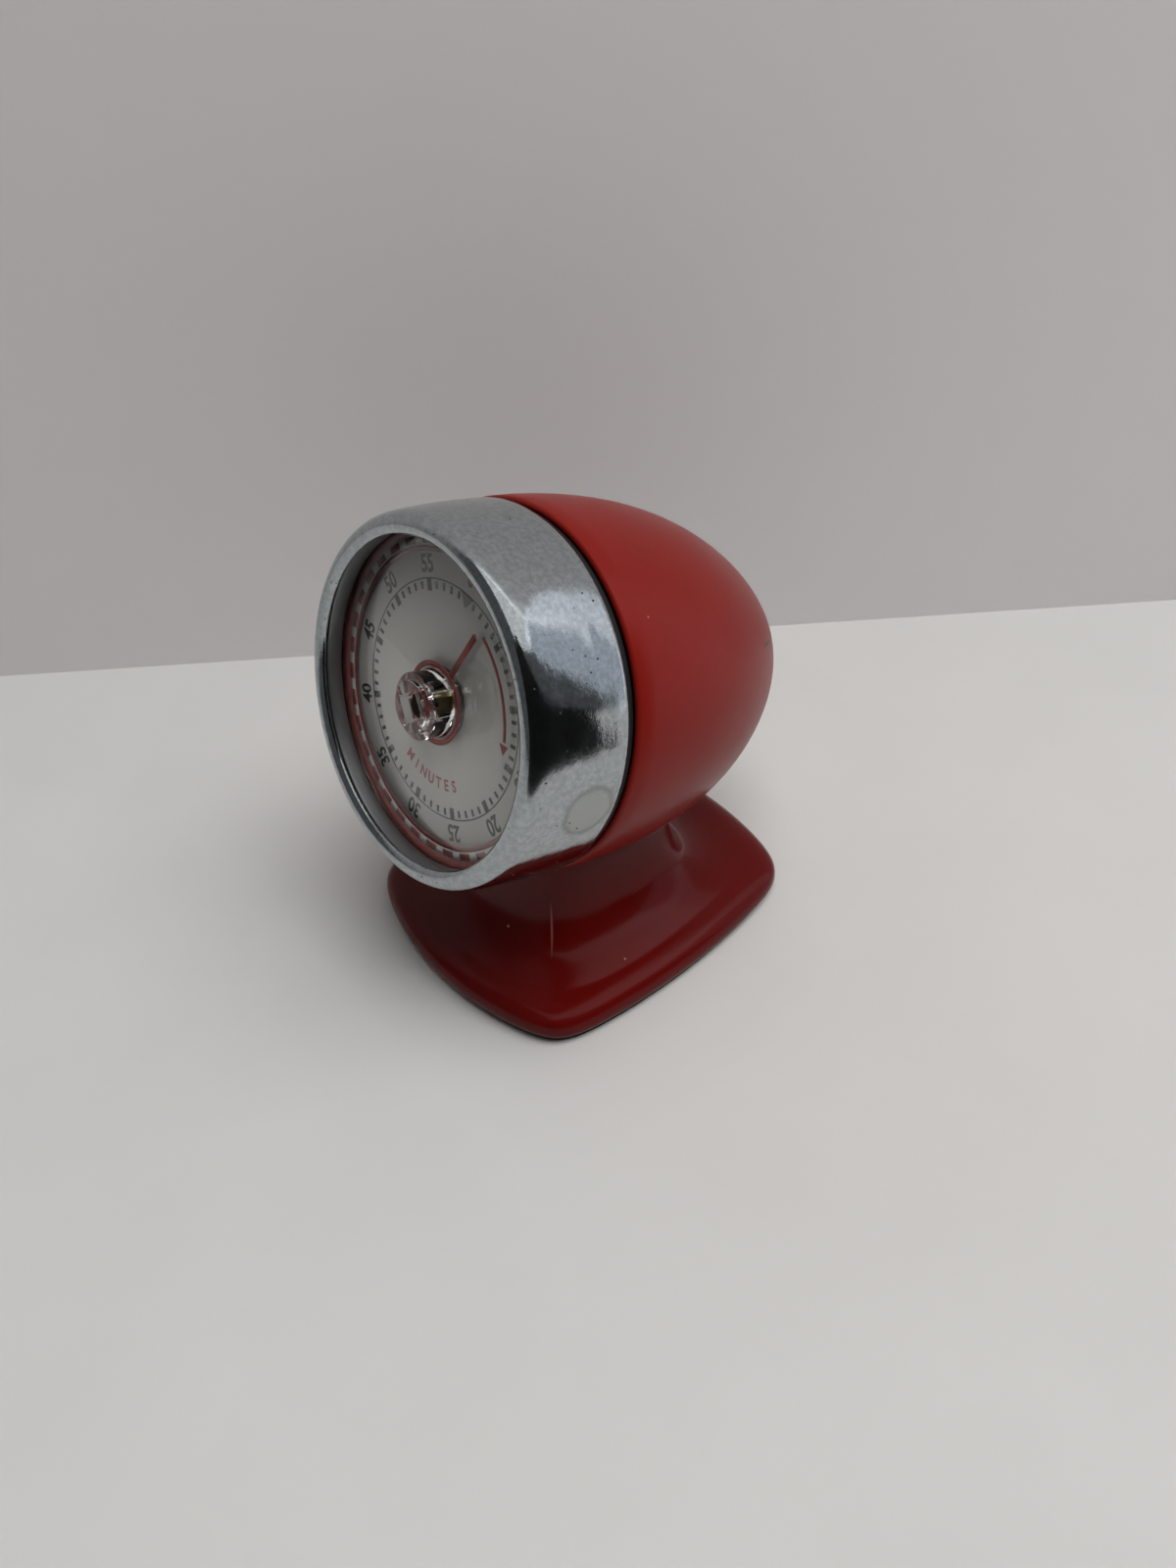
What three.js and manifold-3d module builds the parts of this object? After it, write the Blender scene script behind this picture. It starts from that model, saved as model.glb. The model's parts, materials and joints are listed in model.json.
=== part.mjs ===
// Wind-up kitchen timer: a bullet-shaped steel head with a turning chrome bezel, on a square flared foot.
// Millimetres, +Z up. The dial faces -Y and leans back. Origin: centre of the foot, on the table.

import * as THREE from 'three';
import { mergeVertices } from 'three/addons/utils/BufferGeometryUtils.js';
import Module from 'manifold-3d';

const wasm = await Module();
wasm.setup();

// ---- driving dimensions -------------------------------------------------------------------------
const HEAD_LEAN = THREE.MathUtils.degToRad(17.2); // how far the dial leans back from upright
const HEAD_AXIS_Y = -14.81; // where the head's axis meets the plane of the bezel's rear edge
const HEAD_AXIS_Z = 58.26;
const GAP = 0.3; // air left between pieces that touch in the real timer
const RUNNING = 0.15; // air round a shaft in its hole
const ROUND = 36; // sides of a large turned piece
const SMALL = 8; // sides of a pin or a screw
const FOOT_SIDES = 40;
const THROUGH = 1; // how far a cutter runs out of the piece that it cuts

// head, measured along its axis from the bezel's rear edge, forwards positive
const BEZEL_R = 32.2;
const BEZEL_FRONT_R = 31.0;
const BEZEL_DEPTH = 18.2;
const OPENING_R = 27.4;
const BEZEL_BORE_R = 30.2;
const SHELL_FRONT = -2.0;
const SHELL_LENGTH = 65.0;
const SHELL_R = 32.54;
const SHELL_POWER = 2.53; // fullness of the bullet's shoulder
const SHELL_NOSE = 1.2; // bluntness of its tip
const SHELL_WALL = 1.5;

const DIAL_FACE = 11.0;
const DIAL_R = 29.4;
const DIAL_HOLE_R = 5.8;
const LENS_BACK = 11.6;
const LENS_THICK = 1.6;
const LENS_R = 29.9;
const HUB_R = 6.1;
const HUB_FRONT = 18.0;
const SHAFT_R = 2.0;
const SHAFT_FLAT = 1.4; // from the shaft's axis to its flat
const SHAFT_TIP = 16.4;

// foot
const FOOT_X = 32.1; // half width of the rim
const FOOT_FRONT = 33.5; // reach of the rim forwards from the middle of the neck
const FOOT_REAR = 39.4; // and rearwards
const NECK_Y = (FOOT_FRONT - FOOT_REAR) / 2; // the neck stands this far forwards of the foot's centre
const SIDE_BOW = 4.4; // radius of the foot's side bows over its half width
const END_BOW = 2.0; // radius of its front and rear bows over its reach
const PAD_THICK = 1.0;
const BASE_PLATE_TOP = 3.4;
const NECK_ROOF = 18.4; // underside of the web that carries the head

// movement
const PLATE_R = 27.2;
const FRONT_PLATE = [-3.3, -2.1];
const REAR_PLATE = [-18.4, -17.2];
const PILLAR_R = 24.6;
const PILLAR_ANGLES = [20, 138, 250];
const PILLAR_BORE_R = 1.5;
const MAIN_TEETH = 48;
const MAIN_MODULE = 0.5625;
const MAIN_PINION = 8;
const TRAIN_TEETH = 42;
const TRAIN_PINION = 7;
const SECOND_MODULE = 0.46;
const THIRD_MODULE = 0.4;
const ARBOR_R = 0.8;
const PIVOT_R = 0.5;
const MAIN_ARBOR_R = 1.6;
// where each layer of the movement lies, rear and front
const MAIN_WHEEL_Z = [-5.2, -4.0];
const RATCHET_Z = [-6.5, -5.6];
const CAM_Z = [-8.0, -7.1];
const SECOND_WHEEL_Z = [-9.6, -8.8];
const THIRD_WHEEL_Z = [-11.8, -11.1];
const ESCAPE_WHEEL_Z = [-14.2, -13.5];
const PALLET_Z = [-15.5, -14.8];
const BALANCE_Z = [-16.8, -16.1];
const SPRING_Z = [-16.3, -12.6];
const HAMMER_Z = [-20.6, -19.6];

// ---- materials ----------------------------------------------------------------------------------
function finish(color, roughness, metalness) {
  return new THREE.MeshStandardMaterial({ color, roughness, metalness });
}
const CHROME = finish(0xc9cdd0, 0.12, 1);
const RED_PAINT = finish(0xb3201c, 0.35, 0);
const BLACK = finish(0x121212, 0.6, 0);
const SATIN = finish(0x8f9294, 0.4, 0.8);
const DIAL = finish(0xc6c6c2, 0.5, 0.2);
const STEEL = finish(0x9a9c9e, 0.35, 1);
const BRASS = finish(0xb48a3c, 0.35, 1);
const CLEAR = finish(0xf2f4f4, 0.08, 0);
CLEAR.transparent = true;
CLEAR.opacity = 0.3;

// ---- solids -------------------------------------------------------------------------------------
// A closed geometry as a manifold solid, turned right side out if its faces point inwards.
function solid(geometry) {
  const bare = geometry.clone();
  bare.deleteAttribute('normal');
  bare.deleteAttribute('uv');
  const merged = mergeVertices(bare, 1e-4);
  const at = merged.attributes.position;
  const index = Uint32Array.from(merged.index.array);
  let volume = 0;
  const [a, b, c] = [new THREE.Vector3(), new THREE.Vector3(), new THREE.Vector3()];
  for (let i = 0; i < index.length; i += 3) {
    a.fromBufferAttribute(at, index[i]);
    b.fromBufferAttribute(at, index[i + 1]);
    c.fromBufferAttribute(at, index[i + 2]);
    volume += a.dot(b.cross(c));
  }
  if (volume < 0) index.reverse();
  const triangles = [];
  for (let i = 0; i < index.length; i += 3) {
    const [p, q, r] = [index[i], index[i + 1], index[i + 2]];
    if (p !== q && q !== r && r !== p) triangles.push(p, q, r);
  }
  const vertProperties = Float32Array.from(at.array);
  const triVerts = Uint32Array.from(triangles);
  return new wasm.Manifold(new wasm.Mesh({ numProp: 3, vertProperties, triVerts }));
}

function geometryOf(manifold) {
  const mesh = manifold.getMesh();
  const geometry = new THREE.BufferGeometry();
  const points = Float32Array.from(mesh.vertProperties);
  geometry.setAttribute('position', new THREE.BufferAttribute(points, 3));
  geometry.setIndex(new THREE.BufferAttribute(Uint32Array.from(mesh.triVerts), 1));
  geometry.computeVertexNormals();
  return geometry;
}

// A turned piece about +Z from [radius, height] points.
// A profile that doesn't start on the axis closes on itself.
function turned(profile, sides = ROUND) {
  const points = profile.map(([r, z]) => new THREE.Vector2(r, z));
  if (points[0].x > 0) points.push(points[0].clone());
  return solid(new THREE.LatheGeometry(points, sides).rotateX(Math.PI / 2));
}

function rod(radius, low, high, x = 0, y = 0, sides = SMALL) {
  return turned([[0, low], [radius, low], [radius, high], [0, high]], sides).translate(x, y, 0);
}

function tube(inner, outer, low, high, x = 0, y = 0, sides = SMALL) {
  return turned([[inner, low], [outer, low], [outer, high], [inner, high]], sides).translate(x, y, 0);
}

// The cutter of a round hole through a layer.
function hole(radius, [low, high], at = [0, 0]) {
  return rod(radius, low - THROUGH, high + THROUGH, ...at);
}

function slab(shape, low, high) {
  const options = { depth: high - low, bevelEnabled: false, curveSegments: 6 };
  return solid(new THREE.ExtrudeGeometry(shape, options).translate(0, 0, low));
}

function polygon(points) {
  return new THREE.Shape(points.map(([x, y]) => new THREE.Vector2(x, y)));
}

function bar(x, y, width, height, low, high) {
  const [w, h] = [width / 2, height / 2];
  const corners = [[x - w, y - h], [x + w, y - h], [x + w, y + h], [x - w, y + h]];
  return slab(polygon(corners), low, high);
}

// A flat arm with round ends, from one point to another.
function arm(from, to, halfWidth, low, high) {
  const along = Math.atan2(to[1] - from[1], to[0] - from[0]);
  const shape = new THREE.Shape();
  shape.absarc(to[0], to[1], halfWidth, along - Math.PI / 2, along + Math.PI / 2, false);
  shape.absarc(from[0], from[1], halfWidth, along + Math.PI / 2, along + 1.5 * Math.PI, false);
  return slab(shape, low, high);
}

function polar(radius, degrees, centre = [0, 0]) {
  const a = THREE.MathUtils.degToRad(degrees);
  return [centre[0] + radius * Math.cos(a), centre[1] + radius * Math.sin(a)];
}

function piece(group, name, manifold, material) {
  const mesh = new THREE.Mesh(geometryOf(manifold), material);
  mesh.name = name;
  group.add(mesh);
}

// ---- frames -------------------------------------------------------------------------------------
const timer = new THREE.Group();
const head = new THREE.Group(); // its +Z is the head's axis, out of the dial, and its +Y is up the dial
head.position.set(0, HEAD_AXIS_Y, HEAD_AXIS_Z);
head.rotation.x = Math.PI / 2 - HEAD_LEAN;
timer.add(head);
timer.updateMatrixWorld(true);
const headMatrix = head.matrixWorld;
const headToTimer = (manifold) => manifold.transform(headMatrix.elements);
const timerToHead = (manifold) => manifold.transform(headMatrix.clone().invert().elements);

// ---- rear shell: drawn steel bullet, open at the front ----------------------------------------------
// Up to TIP_FROM of its length the bullet follows a fuller curve. From there its tip is part of a sphere.
const TIP_FROM = 0.92;
function bulletPoint(share, offset) {
  const radius = (SHELL_R + offset) * Math.pow(1 - Math.pow(share, SHELL_POWER), 1 / SHELL_NOSE);
  return [radius, SHELL_FRONT - share * (SHELL_LENGTH + offset)];
}

function bulletProfile(offset, steps) {
  const points = [];
  for (let i = 0; i <= steps; i++) {
    points.push(bulletPoint(TIP_FROM * Math.pow(i / steps, 0.8), offset));
  }
  const [rim, rimZ] = points.at(-1);
  const [before, beforeZ] = bulletPoint(TIP_FROM - 1e-4, offset);
  const lean = Math.PI / 2 - Math.atan2(before - rim, beforeZ - rimZ); // half angle of the tip's cap
  const ball = rim / Math.sin(lean);
  const centre = rimZ + ball * Math.cos(lean);
  for (const left of [0.75, 0.5, 0.25, 0]) {
    points.push([left ? ball * Math.sin(lean * left) : 0, centre - ball * Math.cos(lean * left)]);
  }
  return points;
}

const SCREW_Y = [NECK_Y + 4.5, NECK_Y + 11.5]; // the two screws up through the neck
const clampHoles = SCREW_Y.map((y) => rod(1.9, NECK_ROOF - 6, 40, 0, y));

function rearShell() {
  const outer = bulletProfile(0, 11).reverse();
  const inner = bulletProfile(-SHELL_WALL, 7);
  let shell = turned([...outer, ...inner]);
  for (const clampHole of clampHoles) shell = shell.subtract(timerToHead(clampHole));
  return shell;
}
piece(head, 'rear_shell', rearShell(), RED_PAINT);

// ---- bezel: spun brass ring, chromed, with a rolled lip; it turns on the carrier's spigot -------------
const bezelProfile = [
  [BEZEL_R, 0], [BEZEL_R - 0.15, 6], [BEZEL_R - 0.5, 11], [BEZEL_FRONT_R + 0.25, 15.2],
  [BEZEL_FRONT_R - 0.1, 16.8], [30.3, 17.8], [29.3, BEZEL_DEPTH], [28.3, 18.05],
  [OPENING_R, 17.5], [OPENING_R, 17.1],
  [29.2, 16.8], [BEZEL_BORE_R, 15.8], [BEZEL_BORE_R, 0],
];
piece(head, 'bezel_ring', turned(bezelProfile), CHROME);
const retainerProfile = [[28.1, 13.5], [LENS_R, 13.5], [LENS_R, 15.6], [29.0, 16.4], [28.1, 16.4]];
piece(head, 'lens_retainer', turned(retainerProfile), SATIN);

// ---- carrier: moulded collar between shell and bezel, with the bulkhead that holds the movement -------
const CARRIER_WEB = [-1.7, 0.2];
const carrierProfile = [
  [6, CARRIER_WEB[0]], [6, CARRIER_WEB[1]], [27.4, CARRIER_WEB[1]],
  [27.4, 10.1], [29.6, 10.1], [29.6, -GAP], [31.5, -GAP], [31.5, SHELL_FRONT + GAP],
  [30.6, SHELL_FRONT + GAP], [30.6, -7], [28.9, -7], [28.9, CARRIER_WEB[0]],
];
let carrier = turned(carrierProfile);
for (const angle of PILLAR_ANGLES) {
  carrier = carrier.subtract(hole(PILLAR_BORE_R, CARRIER_WEB, polar(PILLAR_R, angle)));
}
piece(head, 'movement_carrier', carrier, BLACK);

// ---- dial plate and lens ------------------------------------------------------------------------
const dialPlate = tube(DIAL_HOLE_R, DIAL_R, DIAL_FACE - 0.6, DIAL_FACE, 0, 0, ROUND);
piece(head, 'dial_plate', dialPlate, DIAL);

// A round bar with one flat, the end of the shaft that drives the lens.
function dBar(radius, flat, low, high) {
  const half = Math.acos(flat / radius);
  const shape = new THREE.Shape();
  shape.absarc(0, 0, radius, half, 2 * Math.PI - half, false);
  return slab(shape, low, high);
}

function lensWithHub() {
  const front = LENS_BACK + LENS_THICK;
  const body = turned([
    [0, LENS_BACK], [LENS_R, LENS_BACK], [LENS_R, front], [6.9, front], [HUB_R, 14.0],
    [HUB_R, 17.0], [4.6, 17.2], [4.6, HUB_FRONT], [3.3, HUB_FRONT], [3.2, 15.4], [0, 15.4],
  ]);
  return body.subtract(dBar(SHAFT_R + RUNNING, SHAFT_FLAT + RUNNING, LENS_BACK - THROUGH, 16));
}
piece(head, 'lens', lensWithHub(), CLEAR);

// ---- movement -----------------------------------------------------------------------------------
// Where the arbors stand, as x, y on the plates seen from the dial side.
const mainDistance = (MAIN_MODULE * (MAIN_TEETH + MAIN_PINION)) / 2;
const SECOND_AT = polar(mainDistance, 200);
const THIRD_AT = polar((SECOND_MODULE * (TRAIN_TEETH + TRAIN_PINION)) / 2, 95, SECOND_AT);
const ESCAPE_AT = polar((THIRD_MODULE * (TRAIN_TEETH + TRAIN_PINION)) / 2, 55, THIRD_AT);
const BALANCE_AT = polar(7.9, 25, ESCAPE_AT);
const HAMMER_AT = [10, -14];

function plate(level) {
  let disc = rod(PLATE_R, ...level, 0, 0, ROUND).subtract(hole(MAIN_ARBOR_R + RUNNING, level));
  for (const at of [SECOND_AT, THIRD_AT, ESCAPE_AT, BALANCE_AT]) {
    disc = disc.subtract(hole(PIVOT_R + RUNNING, level, at));
  }
  disc = disc.subtract(hole(ARBOR_R + RUNNING, level, HAMMER_AT));
  for (const angle of PILLAR_ANGLES) {
    disc = disc.subtract(hole(PILLAR_BORE_R, level, polar(PILLAR_R, angle)));
  }
  return disc;
}
piece(head, 'front_plate', plate(FRONT_PLATE), BRASS);
piece(head, 'rear_plate', plate(REAR_PLATE), BRASS);

PILLAR_ANGLES.forEach((angle, i) => {
  const at = polar(PILLAR_R, angle);
  const [low, high] = [REAR_PLATE[1] + GAP, FRONT_PLATE[0] - GAP];
  piece(head, `plate_pillar_${i + 1}`, tube(1.5, 2.1, low, high, ...at), BRASS);
  const frontScrew = rod(2.3, 0.5, 1.7, ...at).add(rod(1.2, -8, 0.6, ...at));
  piece(head, `movement_screw_${i + 1}`, frontScrew, STEEL);
  const rearTop = REAR_PLATE[0] - GAP;
  const rearScrew = rod(2.3, rearTop - 1.2, rearTop, ...at).add(rod(1.2, rearTop - 0.1, -12.5, ...at));
  piece(head, `rear_plate_screw_${i + 1}`, rearScrew, STEEL);
});

// A toothed outline with straight flanks, thin enough to run with play.
function gearShape(teeth, module, tip, root) {
  const pitch = (2 * Math.PI) / teeth;
  const foot = (module * teeth) / 2 - root * module;
  const crest = (module * teeth) / 2 + tip * module;
  const points = [];
  for (let i = 0; i < teeth; i++) {
    for (const [radius, share] of [[foot, -0.24], [crest, -0.1], [crest, 0.1], [foot, 0.24]]) {
      const a = (i + share) * pitch;
      points.push([radius * Math.cos(a), radius * Math.sin(a)]);
    }
  }
  return polygon(points);
}

function wheel(teeth, module, level, bore, at, turn) {
  const toothed = slab(gearShape(teeth, module, 0.75, 1.1), ...level).subtract(hole(bore, level));
  return toothed.rotate(0, 0, turn).translate(at[0], at[1], 0);
}

const PIVOT_ENDS = [REAR_PLATE[0] + GAP, FRONT_PLATE[1] - GAP];
const SHOULDERS = [REAR_PLATE[1] + GAP, FRONT_PLATE[0] - GAP];
// An arbor whose pinion is cut on it, a little wider than the wheel that it meets.
function pinionArbor(teeth, module, [low, high], at, turn) {
  return slab(gearShape(teeth, module, 0.75, 1.0), low - 0.4, high + 0.4)
    .rotate(0, 0, turn)
    .add(rod(ARBOR_R, ...SHOULDERS))
    .add(rod(PIVOT_R, ...PIVOT_ENDS))
    .translate(at[0], at[1], 0);
}

function direction(from, to) {
  return THREE.MathUtils.radToDeg(Math.atan2(to[1] - from[1], to[0] - from[0]));
}

// The turn, in degrees, that sets a pinion's gap on the tooth that a wheel points at it.
function inMesh(wheelTeeth, wheelTurn, wheelAt, pinionTeeth, pinionAt) {
  const line = direction(wheelAt, pinionAt);
  const wheelPhase = ((line - wheelTurn) * wheelTeeth) / 360; // in teeth, on the line of centres
  return line + 180 + ((wheelPhase + 0.5) * 360) / pinionTeeth;
}

const MAIN_AT = [0, 0];
const secondTurn = inMesh(MAIN_TEETH, 0, MAIN_AT, MAIN_PINION, SECOND_AT);
const thirdTurn = inMesh(TRAIN_TEETH, secondTurn, SECOND_AT, TRAIN_PINION, THIRD_AT);
const escapeTurn = inMesh(TRAIN_TEETH, thirdTurn, THIRD_AT, TRAIN_PINION, ESCAPE_AT);

// The main arbor runs from the D-shaped end in the lens's hub back to the rear plate.
const mainArbor = rod(MAIN_ARBOR_R, REAR_PLATE[0] + GAP, 11)
  .add(dBar(SHAFT_R, SHAFT_FLAT, 10.5, SHAFT_TIP))
  .add(rod(2.6, -1.4, -0.4));
piece(head, 'main_arbor', mainArbor, STEEL);
const onArbor = MAIN_ARBOR_R + RUNNING;
const mainWheel = wheel(MAIN_TEETH, MAIN_MODULE, MAIN_WHEEL_Z, onArbor, MAIN_AT, 0);
piece(head, 'main_wheel', mainWheel, BRASS);

function ratchet() {
  const teeth = 16;
  const points = [];
  for (let i = 0; i < teeth; i++) {
    points.push(polar(4.4, (i * 360) / teeth), polar(5.3, ((i + 0.85) * 360) / teeth));
  }
  return slab(polygon(points), ...RATCHET_Z).subtract(hole(onArbor, RATCHET_Z));
}
piece(head, 'ratchet_wheel', ratchet(), STEEL);
piece(head, 'ratchet_click', arm([7.7, -2.6], [6.1, 1.2], 0.7, ...RATCHET_Z), STEEL);
const camNotch = bar(5.0, 1.5, 2.4, 1.6, CAM_Z[0] - THROUGH, CAM_Z[1] + THROUGH);
piece(head, 'alarm_cam', tube(onArbor, 5.2, ...CAM_Z).subtract(camNotch), STEEL);

function mainspring() {
  const [inner, outer, turns, strip] = [3.2, 9.6, 4, 0.35];
  const steps = 12 * turns;
  const side = (shift) => Array.from({ length: steps + 1 }, (_, i) => {
    return polar(inner + ((outer - inner) * i) / steps + shift, (360 * turns * i) / steps - 45);
  });
  return slab(polygon([...side(0), ...side(strip).reverse()]), ...SPRING_Z);
}
piece(head, 'mainspring', mainspring(), STEEL);
const springPost = rod(0.9, REAR_PLATE[1] + GAP, SPRING_Z[1] + 0.6, ...polar(11.4, -45));
piece(head, 'spring_post', springPost, STEEL);

const wheelBore = ARBOR_R + RUNNING;
const secondPinion = pinionArbor(MAIN_PINION, MAIN_MODULE, MAIN_WHEEL_Z, SECOND_AT, secondTurn);
piece(head, 'second_pinion', secondPinion, STEEL);
const secondWheel = wheel(TRAIN_TEETH, SECOND_MODULE, SECOND_WHEEL_Z, wheelBore, SECOND_AT, secondTurn);
piece(head, 'second_wheel', secondWheel, BRASS);
const thirdPinion = pinionArbor(TRAIN_PINION, SECOND_MODULE, SECOND_WHEEL_Z, THIRD_AT, thirdTurn);
piece(head, 'third_pinion', thirdPinion, STEEL);
const thirdWheel = wheel(TRAIN_TEETH, THIRD_MODULE, THIRD_WHEEL_Z, wheelBore, THIRD_AT, thirdTurn);
piece(head, 'third_wheel', thirdWheel, BRASS);
const escapePinion = pinionArbor(TRAIN_PINION, THIRD_MODULE, THIRD_WHEEL_Z, ESCAPE_AT, escapeTurn);
piece(head, 'escape_pinion', escapePinion, STEEL);

function escapeWheel() {
  const teeth = 15;
  const points = [];
  for (let i = 0; i < teeth; i++) {
    for (const [radius, share] of [[4.3, 0], [5.5, 0.7], [5.5, 0.82]]) {
      points.push(polar(radius, ((i + share) * 360) / teeth));
    }
  }
  const disc = slab(polygon(points), ...ESCAPE_WHEEL_Z).subtract(hole(wheelBore, ESCAPE_WHEEL_Z));
  return disc.translate(...ESCAPE_AT, 0);
}
piece(head, 'escape_wheel', escapeWheel(), BRASS);

// The pallets' two pins stand a little clear of the escape wheel's teeth.
const balanceStaff = rod(PIVOT_R, ...PIVOT_ENDS, ...BALANCE_AT)
  .add(rod(ARBOR_R, ...SHOULDERS, ...BALANCE_AT));
piece(head, 'balance_staff', balanceStaff, STEEL);
const toBalance = direction(ESCAPE_AT, BALANCE_AT);
const pinPlaces = [-42, 42].map((angle) => polar(7.0, toBalance + angle, ESCAPE_AT));
let pallets = rod(1.6, ...PALLET_Z, ...BALANCE_AT);
for (const at of pinPlaces) {
  const pin = rod(0.4, PALLET_Z[0] + 0.5, ESCAPE_WHEEL_Z[1] + GAP, ...at);
  pallets = pallets.add(arm(BALANCE_AT, at, 0.6, ...PALLET_Z)).add(pin);
}
piece(head, 'pallet_lever', pallets.subtract(hole(wheelBore, PALLET_Z, BALANCE_AT)), STEEL);
const weights = [0, 180].map((angle) => polar(4.6, toBalance + 90 + angle, BALANCE_AT));
const balanceBar = arm(weights[0], weights[1], 0.8, ...BALANCE_Z)
  .add(rod(1.3, ...BALANCE_Z, ...weights[0]))
  .add(rod(1.3, ...BALANCE_Z, ...weights[1]))
  .add(rod(1.5, ...BALANCE_Z, ...BALANCE_AT))
  .subtract(hole(wheelBore, BALANCE_Z, BALANCE_AT));
piece(head, 'balance_bar', balanceBar, BRASS);

// ---- bell and hammer ------------------------------------------------------------------------------
const BELL_R = 19;
const BELL_RIM = -22.5;
const BELL_CROWN = -33.0;
const bellProfile = [
  [1.9, BELL_CROWN], [11, BELL_CROWN + 0.7], [16.5, BELL_CROWN + 3], [18.6, BELL_CROWN + 6.4],
  [BELL_R, BELL_RIM], [BELL_R - 1, BELL_RIM], [17.6, BELL_CROWN + 6.8],
  [15.7, BELL_CROWN + 4.1], [10.7, BELL_CROWN + 1.8], [1.9, BELL_CROWN + 1.1],
];
piece(head, 'bell', turned(bellProfile, 30), STEEL);
const postFoot = REAR_PLATE[0] - GAP;
const bellPost = rod(5, postFoot - 1, postFoot, 0, 0, 18)
  .add(rod(2.6, BELL_CROWN + 1.1 + GAP, postFoot - 0.5))
  .add(rod(1.6, BELL_CROWN - 2.6, postFoot - 0.5));
piece(head, 'bell_post', bellPost, STEEL);
const NUT_Z = [BELL_CROWN - 2.2, BELL_CROWN - GAP];
piece(head, 'bell_nut', rod(3.2, ...NUT_Z, 0, 0, 6).subtract(hole(1.8, NUT_Z)), STEEL);

const hammerHead = polar(15.0, -15);
piece(head, 'hammer_arbor', rod(ARBOR_R, HAMMER_Z[0], PIVOT_ENDS[1], ...HAMMER_AT), STEEL);
// A lever fixed on the hammer's arbor by a round boss.
function hammerLever(to, level) {
  return arm(HAMMER_AT, to, 0.9, ...level)
    .add(rod(1.8, ...level, ...HAMMER_AT))
    .subtract(hole(wheelBore, level, HAMMER_AT));
}
const striker = rod(1.5, BELL_RIM - 3.5, HAMMER_Z[1], ...hammerHead);
piece(head, 'hammer_arm', hammerLever(hammerHead, HAMMER_Z).add(striker), STEEL);
piece(head, 'hammer_tail', hammerLever(polar(6.4, -54.5), CAM_Z), STEEL);

// ---- foot: pressed and welded pedestal, its rim and neck in one painted piece -----------------------
// An outline of the foot is four shallow bows with their corners rounded off. From the middle of the
// neck, a bow lies this far away in a direction with this cosine and sine to the bow's own middle.
function bowDistance(reach, ratio, cosine, sine) {
  const radius = reach * ratio;
  const back = radius - reach;
  return Math.sqrt(radius * radius - back * back * sine * sine) - back * cosine;
}

function outlineRadius(angle, [halfX, front, rear, corner]) {
  const [c, s] = [Math.abs(Math.cos(angle)), Math.abs(Math.sin(angle))];
  const side = bowDistance(halfX, SIDE_BOW, c, s);
  const end = bowDistance(angle > 0 ? rear : front, END_BOW, s, c);
  return Math.pow(Math.pow(side, -corner) + Math.pow(end, -corner), -1 / corner);
}

// A lofted body: a turned shape whose rings are pulled out to rounded squares about the neck's middle.
// Its points lie closer together at the corners than along the sides.
function lofted(rings) {
  const points = rings.map(([z]) => new THREE.Vector2(1, z));
  points.unshift(new THREE.Vector2(0, rings[0][0]));
  points.push(new THREE.Vector2(0, rings.at(-1)[0]));
  const geometry = new THREE.LatheGeometry(points, FOOT_SIDES).rotateX(Math.PI / 2);
  const at = geometry.attributes.position;
  for (let i = 0; i < at.count; i++) {
    const ring = (i % points.length) - 1;
    if (ring < 0 || ring === rings.length) continue;
    const even = Math.atan2(at.getY(i), at.getX(i));
    const angle = even + 0.15 * Math.sin(4 * even);
    const radius = outlineRadius(angle, rings[ring].slice(1));
    at.setXY(i, radius * Math.cos(angle), radius * Math.sin(angle));
  }
  return solid(geometry).translate(0, NECK_Y, 0);
}

// The rim's outline moved in by some millimetres, with corners of some sharpness.
const rimInset = (by, corner) => [FOOT_X - by, FOOT_FRONT - by, FOOT_REAR - by, corner];
// each ring: height, half width, reach forwards, reach rearwards, sharpness of the corners
const pedestalRings = [
  [PAD_THICK + GAP, ...rimInset(0.7, 18)], [2.2, ...rimInset(0, 18)], [4.4, ...rimInset(0.1, 18)],
  [5.6, ...rimInset(0.7, 17)], [6.4, ...rimInset(1.8, 15)], [6.9, ...rimInset(3.5, 13)],
  [7.8, 26.2, 26.8, 26.5, 8], [8.8, 24, 24.8, 24.6, 6.5], [10, 21.6, 23.2, 22.8, 6.5],
  [12.2, 19.4, 21, 21, 6.5], [15.5, 17.8, 19.2, 19.6, 6.5], [20, 16.8, 18, 18.6, 7],
  [38, 16.3, 17.4, 17.6, 8],
];
const hollowRings = [
  [0, ...rimInset(2.8, 14)], [4.2, ...rimInset(2.8, 14)], [5.6, 25.5, 27.3, 31.4, 9],
  [7.0, 21, 22.4, 22, 6.5], [10.4, 17, 18.4, 18.2, 6.5], [NECK_ROOF, 14.2, 15.4, 15.4, 7],
];
const BASE_SCREW_AT = [
  [20.5, NECK_Y + 17], [-20.5, NECK_Y + 17], [20.5, NECK_Y - 17], [-20.5, NECK_Y - 17],
];

function pedestal() {
  const headRoom = turned([...bulletProfile(GAP, 11).reverse(), [SHELL_R + GAP, 10], [0, 10]]);
  let foot = lofted(pedestalRings).subtract(lofted(hollowRings));
  for (const at of BASE_SCREW_AT) {
    foot = foot.add(rod(2.4, BASE_PLATE_TOP + GAP, 8, ...at)).subtract(rod(1.2, 2, 7.4, ...at));
  }
  foot = foot.subtract(headToTimer(headRoom));
  for (const clampHole of clampHoles) foot = foot.subtract(clampHole);
  return foot;
}
piece(timer, 'pedestal', pedestal(), RED_PAINT);

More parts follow.
